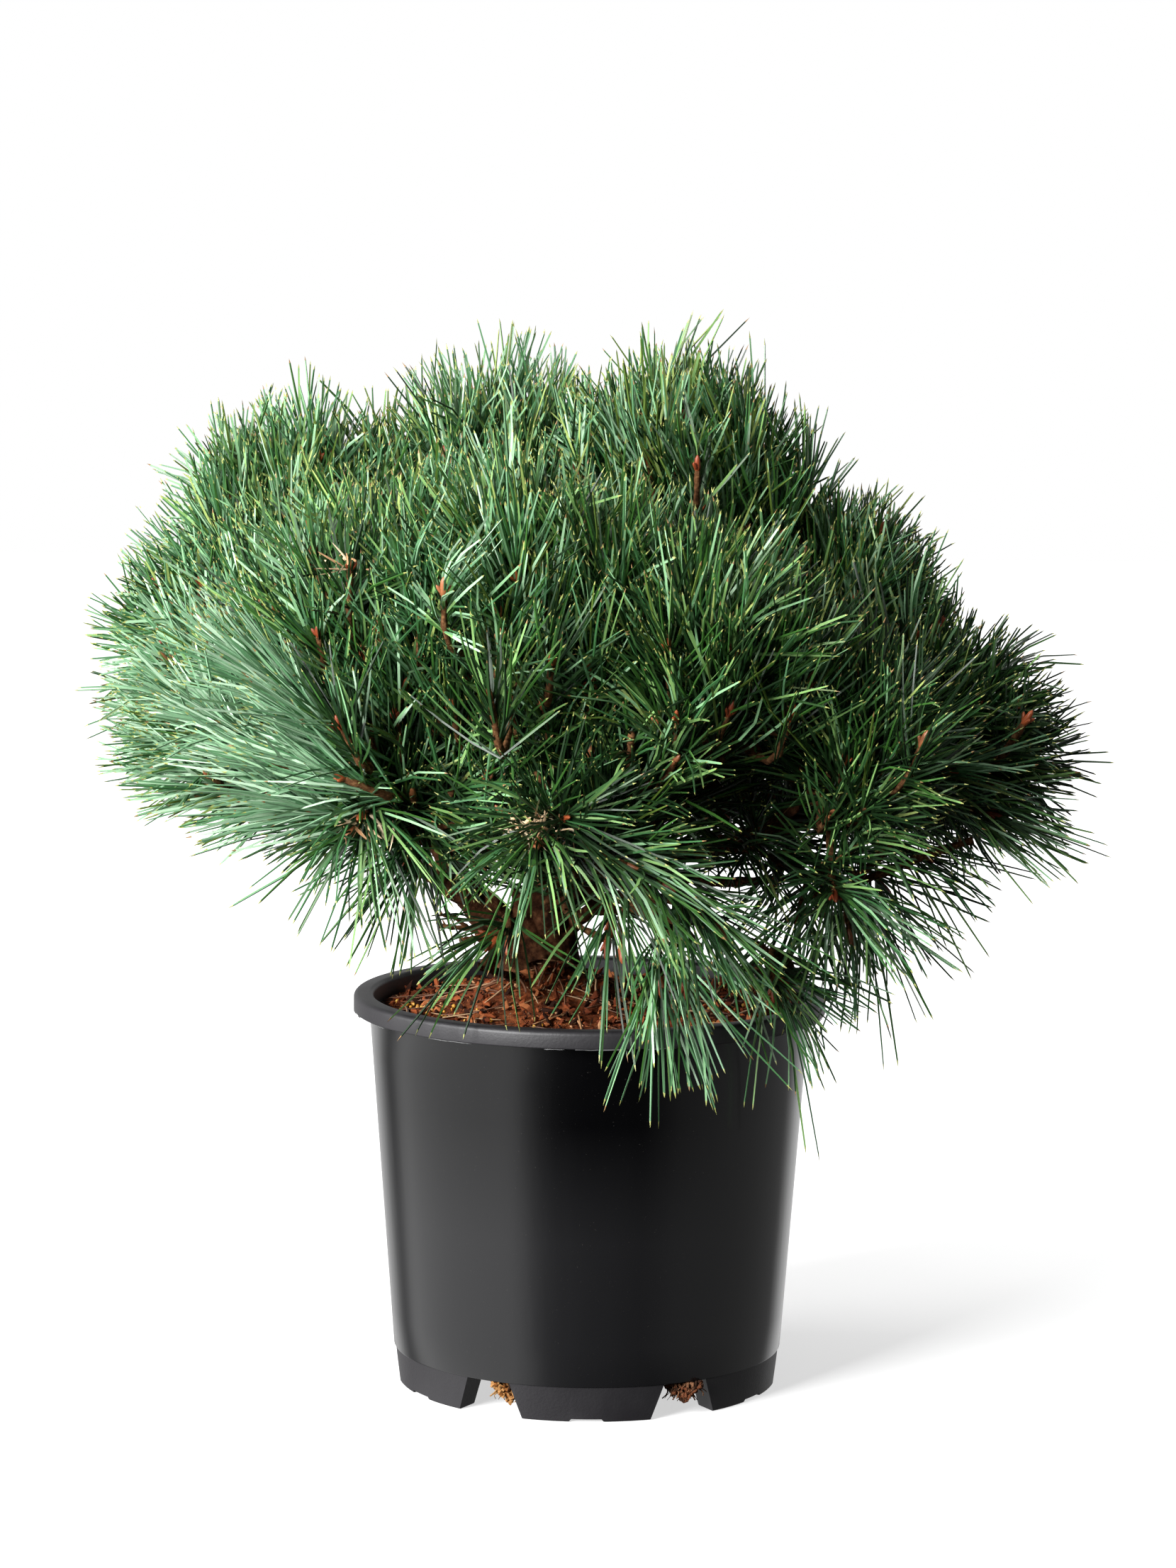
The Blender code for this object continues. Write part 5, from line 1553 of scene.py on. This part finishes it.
def make_notch_fill():
    """Root threads and lumps of bark that fill the two front notches."""
    dice = random.Random(61)
    centres, widths, tones = [], [], []
    last = NOTCH_STATIONS - 1
    for (x, y), half, tone in NOTCH_SPOTS:
        for index in range(NOTCH_ROOTS):
            across_it, along_it = dice.uniform(-0.6, 0.6) * half, dice.uniform(-1, 1) * 0.004
            start = Vector((x + across_it, y + along_it, FOOT_HEIGHT - 0.0004))
            drop = dice.uniform(*NOTCH_DROPS)
            drift = Vector((dice.gauss(0, 0.003), dice.gauss(0, 0.001), -drop))
            row = []
            for t in (station / last for station in range(NOTCH_STATIONS)):
                curl = Vector((math.sin(t * 7 + index) * 0.0013, math.cos(t * 6 + index) * 0.0010, 0))
                row.append(start + drift * t + curl * t)
            centres.append(row)
            thick = dice.uniform(*NOTCH_ROOT_RADII)
            widths.append([thick * (1 - 0.5 * station / last) for station in range(NOTCH_STATIONS)])
            tones.append(tone if dice.random() < 0.75 else 2)
    looks = [plain(*look) for look in NOTCH_ROOT_LOOKS]
    make_tubes("notch_roots", centres, widths, 5, looks, tones)
    places, scales, tones = [], [], []
    for (x, y), half, tone in NOTCH_SPOTS:
        for index in range(NOTCH_LUMPS):
            out = half * dice.uniform(-0.85, 0.85)
            low = 0.012 * (1 - abs(out) / half) * dice.uniform(0, 1) ** 0.7
            places.append((x + out, y + dice.uniform(-0.004, 0.004), FOOT_HEIGHT - 0.001 - low))
            scales.append([dice.uniform(*NOTCH_LUMP_SIZES) for _ in range(3)])
            tones.append(dice.choice((tone * 2, tone * 2, tone * 2 + 1)))
    turns = random_turns(np.random.default_rng(62), len(places))
    lumps = strew(pebble(1), np.array(places), turns, np.array(scales), tones, jitter=0.35)
    settle(lumps, "notch_bark", [plain(*look) for look in NOTCH_BARK_LOOKS])


def make_buds(shoots_by_mass):
    """Resinous red-brown winter buds, a main one with smaller ones round it, on most outer shoots."""
    dice = random.Random(41)
    places, ways, scales, tones = [], [], [], []
    for foot, bud, rank, _ in (shoot for mass in MASSES for shoot in shoots_by_mass[mass.name]):
        if rank > SKIN_RANK or (rank == SKIN_RANK and dice.random() < 0.25):
            continue
        way = (bud - foot).normalized()
        length = dice.uniform(*BUD_LENGTHS)
        tone = dice.choice((0, 0, 1, 1, 2))
        own = [(bud + way * length * 0.35, way, (length * 0.40, length * 0.40, length))]
        for index in range(dice.choice((1, 2, 3))):
            lean = turned_off(way, 0.6, index * 2.2 + dice.uniform(0, 1))
            size = (SIDE_BUD_WIDTH, SIDE_BUD_WIDTH, length * 0.62)
            own.append((bud + lean * SIDE_BUD_OUT, lean, size))
        for rows, row in zip((places, ways, scales), zip(*own)):
            rows.extend(row)
        tones += [tone] * len(own)
    points, faces = template(bpy.ops.mesh.primitive_uv_sphere_add, segments=7, ring_count=7, radius=0.5)
    taper = 1 - 0.55 * np.clip(points[:, 2:] + 0.1, 0, 1)
    scaly = 1 + 0.10 * np.cos(points[:, 2:] * math.tau * 3.5)
    points[:, :2] *= taper * scaly
    turns = np.array([way.to_track_quat("Z", "Y").to_matrix() for way in ways])
    buds = strew((points, faces), np.array(places), turns, np.array(scales), tones, smooth=True)
    settle(buds, "buds", shades("bud_scale", BUD_REDS, 0.45))


def make_old_scales():
    """Dry, curled scales left at the feet of last year's buds, in papery tans."""
    dice = np.random.default_rng(43)
    roots, ways = [], []
    for centre, count in OLD_SCALES:
        ways.append(unit(dice.normal(size=(count, 3)) + np.array([0, -0.7, 0])))
        off = dice.normal(scale=0.003, size=(count, 3)) * [2.2, 0.6, 0.8]
        roots.append(np.array(centre) + ways[-1] * 0.003 + off)
    roots, ways = np.concatenate(roots), np.concatenate(ways)
    count = len(roots)
    bends = dice.normal(scale=1.3, size=(count, 3))
    lengths = dice.uniform(*SCALE_LENGTHS, count)
    widths = dice.uniform(*SCALE_WIDTHS, count)
    tones = dice.choice(3, count)
    rings = [(0.0, 0.6), (0.25, 1.0), (0.5, 1.0), (0.75, 0.8), (0.95, 0.4)]
    flats = dice.normal(size=(count, 3))
    arrays = strips(roots, ways, bends, lengths, widths, flats, tones, tones, tones * 2, rings, 0.0004)
    looks = two_faced("old_scale", SCALE_TANS, 0.7, 0.7)
    settle(joined_mesh(*arrays, smooth=False), "old_bud_scales", looks)


def make_floor():
    """A plain pale floor, which the pot doesn't mirror and which throws no light back up."""
    deselect()
    bpy.ops.mesh.primitive_plane_add(size=14, location=(0, 0, -0.0002))
    floor = bpy.context.object
    place_in_mesh(floor)
    floor.name = "studio_floor"
    floor.data.materials.append(studio_white())
    floor.visible_glossy = False
    floor.visible_diffuse = False


def make_lamp(name, place, target, size, power):
    """A rectangular soft light."""
    light = bpy.data.lights.new(name, "AREA")
    light.shape = "RECTANGLE"
    light.size, light.size_y = size
    light.energy = power
    lamp = new_object(name, light)
    lamp.location = place
    lamp.rotation_euler = (Vector(target) - Vector(place)).to_track_quat("-Z", "Y").to_euler()


def make_light():
    """White behind for the camera, dim round the plant, bright at the left for the pot's gloss, and lamps."""
    world = bpy.data.worlds.new("studio")
    bpy.context.scene.world = world
    world.use_nodes = True
    studio = Nodes(world.node_tree)
    depth = studio.spread(studio.axis("Y", "Generated"), 0, 1, -1)
    ambient = studio.ramp(depth, [(0.0, 0.020), (0.5, 0.04), (0.9, 0.30)])
    above = studio.ramp(studio.axis("Z", "Generated"), [(0.25, 0), (0.85, 1)])
    soft = studio.mix(above, ambient, 0.36)
    way = studio.add("TexCoord", {}, "Generated")
    toward = studio.add("VectorMath", {0: way, 1: GLOW_WAY}, "Value", operation="DOT_PRODUCT")
    glow = studio.ramp(studio.spread(toward, 0, 1, -1), GLOW)
    shine = studio.mix(1.0, glow, studio.ramp(depth, [(0.84, 0), (0.93, 0.8)]), "ADD")
    lit = studio.mix(studio.add("LightPath", {}, "Is Glossy Ray"), soft, shine)
    seen = studio.mix(studio.add("LightPath", {}, "Is Camera Ray"), lit, 1.0)
    studio.feed(world.node_tree.nodes["Background"], {"Color": seen})
    for lamp in LAMPS:
        make_lamp(*lamp)


def make_camera():
    """The photograph's view: its place, dip and roll, with the framing kept by a small sideways shift."""
    data = bpy.data.cameras.new("camera")
    data.sensor_width = SENSOR
    data.lens = FOCAL_PIXELS / PHOTO_HEIGHT * SENSOR
    data.shift_x = -(MIDDLE_PIXEL - PHOTO_WIDTH / 2) / PHOTO_HEIGHT
    camera = new_object("camera", data)
    tilt = Matrix.Rotation(math.pi / 2 - CAMERA_DIP, 4, "X") @ Matrix.Rotation(CAMERA_ROLL, 4, "Z")
    camera.matrix_world = Matrix.Translation(CAMERA_PLACE) @ tilt
    bpy.context.scene.camera = camera


def main():
    deselect()
    bpy.context.scene.view_settings.view_transform = "Standard"
    make_camera()
    make_light()
    make_floor()
    make_pot()
    make_flash()
    make_soil()
    make_crumbs()
    make_feed()
    make_fallen()
    make_notch_fill()
    paths = limb_paths()
    make_trunk(paths)
    make_boughs(paths)
    shoots_by_mass = {mass.name: shoots_of(mass, paths) for mass in MASSES}
    make_twigs(paths, shoots_by_mass)
    make_bare_twigs()
    make_buds(shoots_by_mass)
    make_old_scales()
    make_needles(needle_looks(), shoots_by_mass)


main()
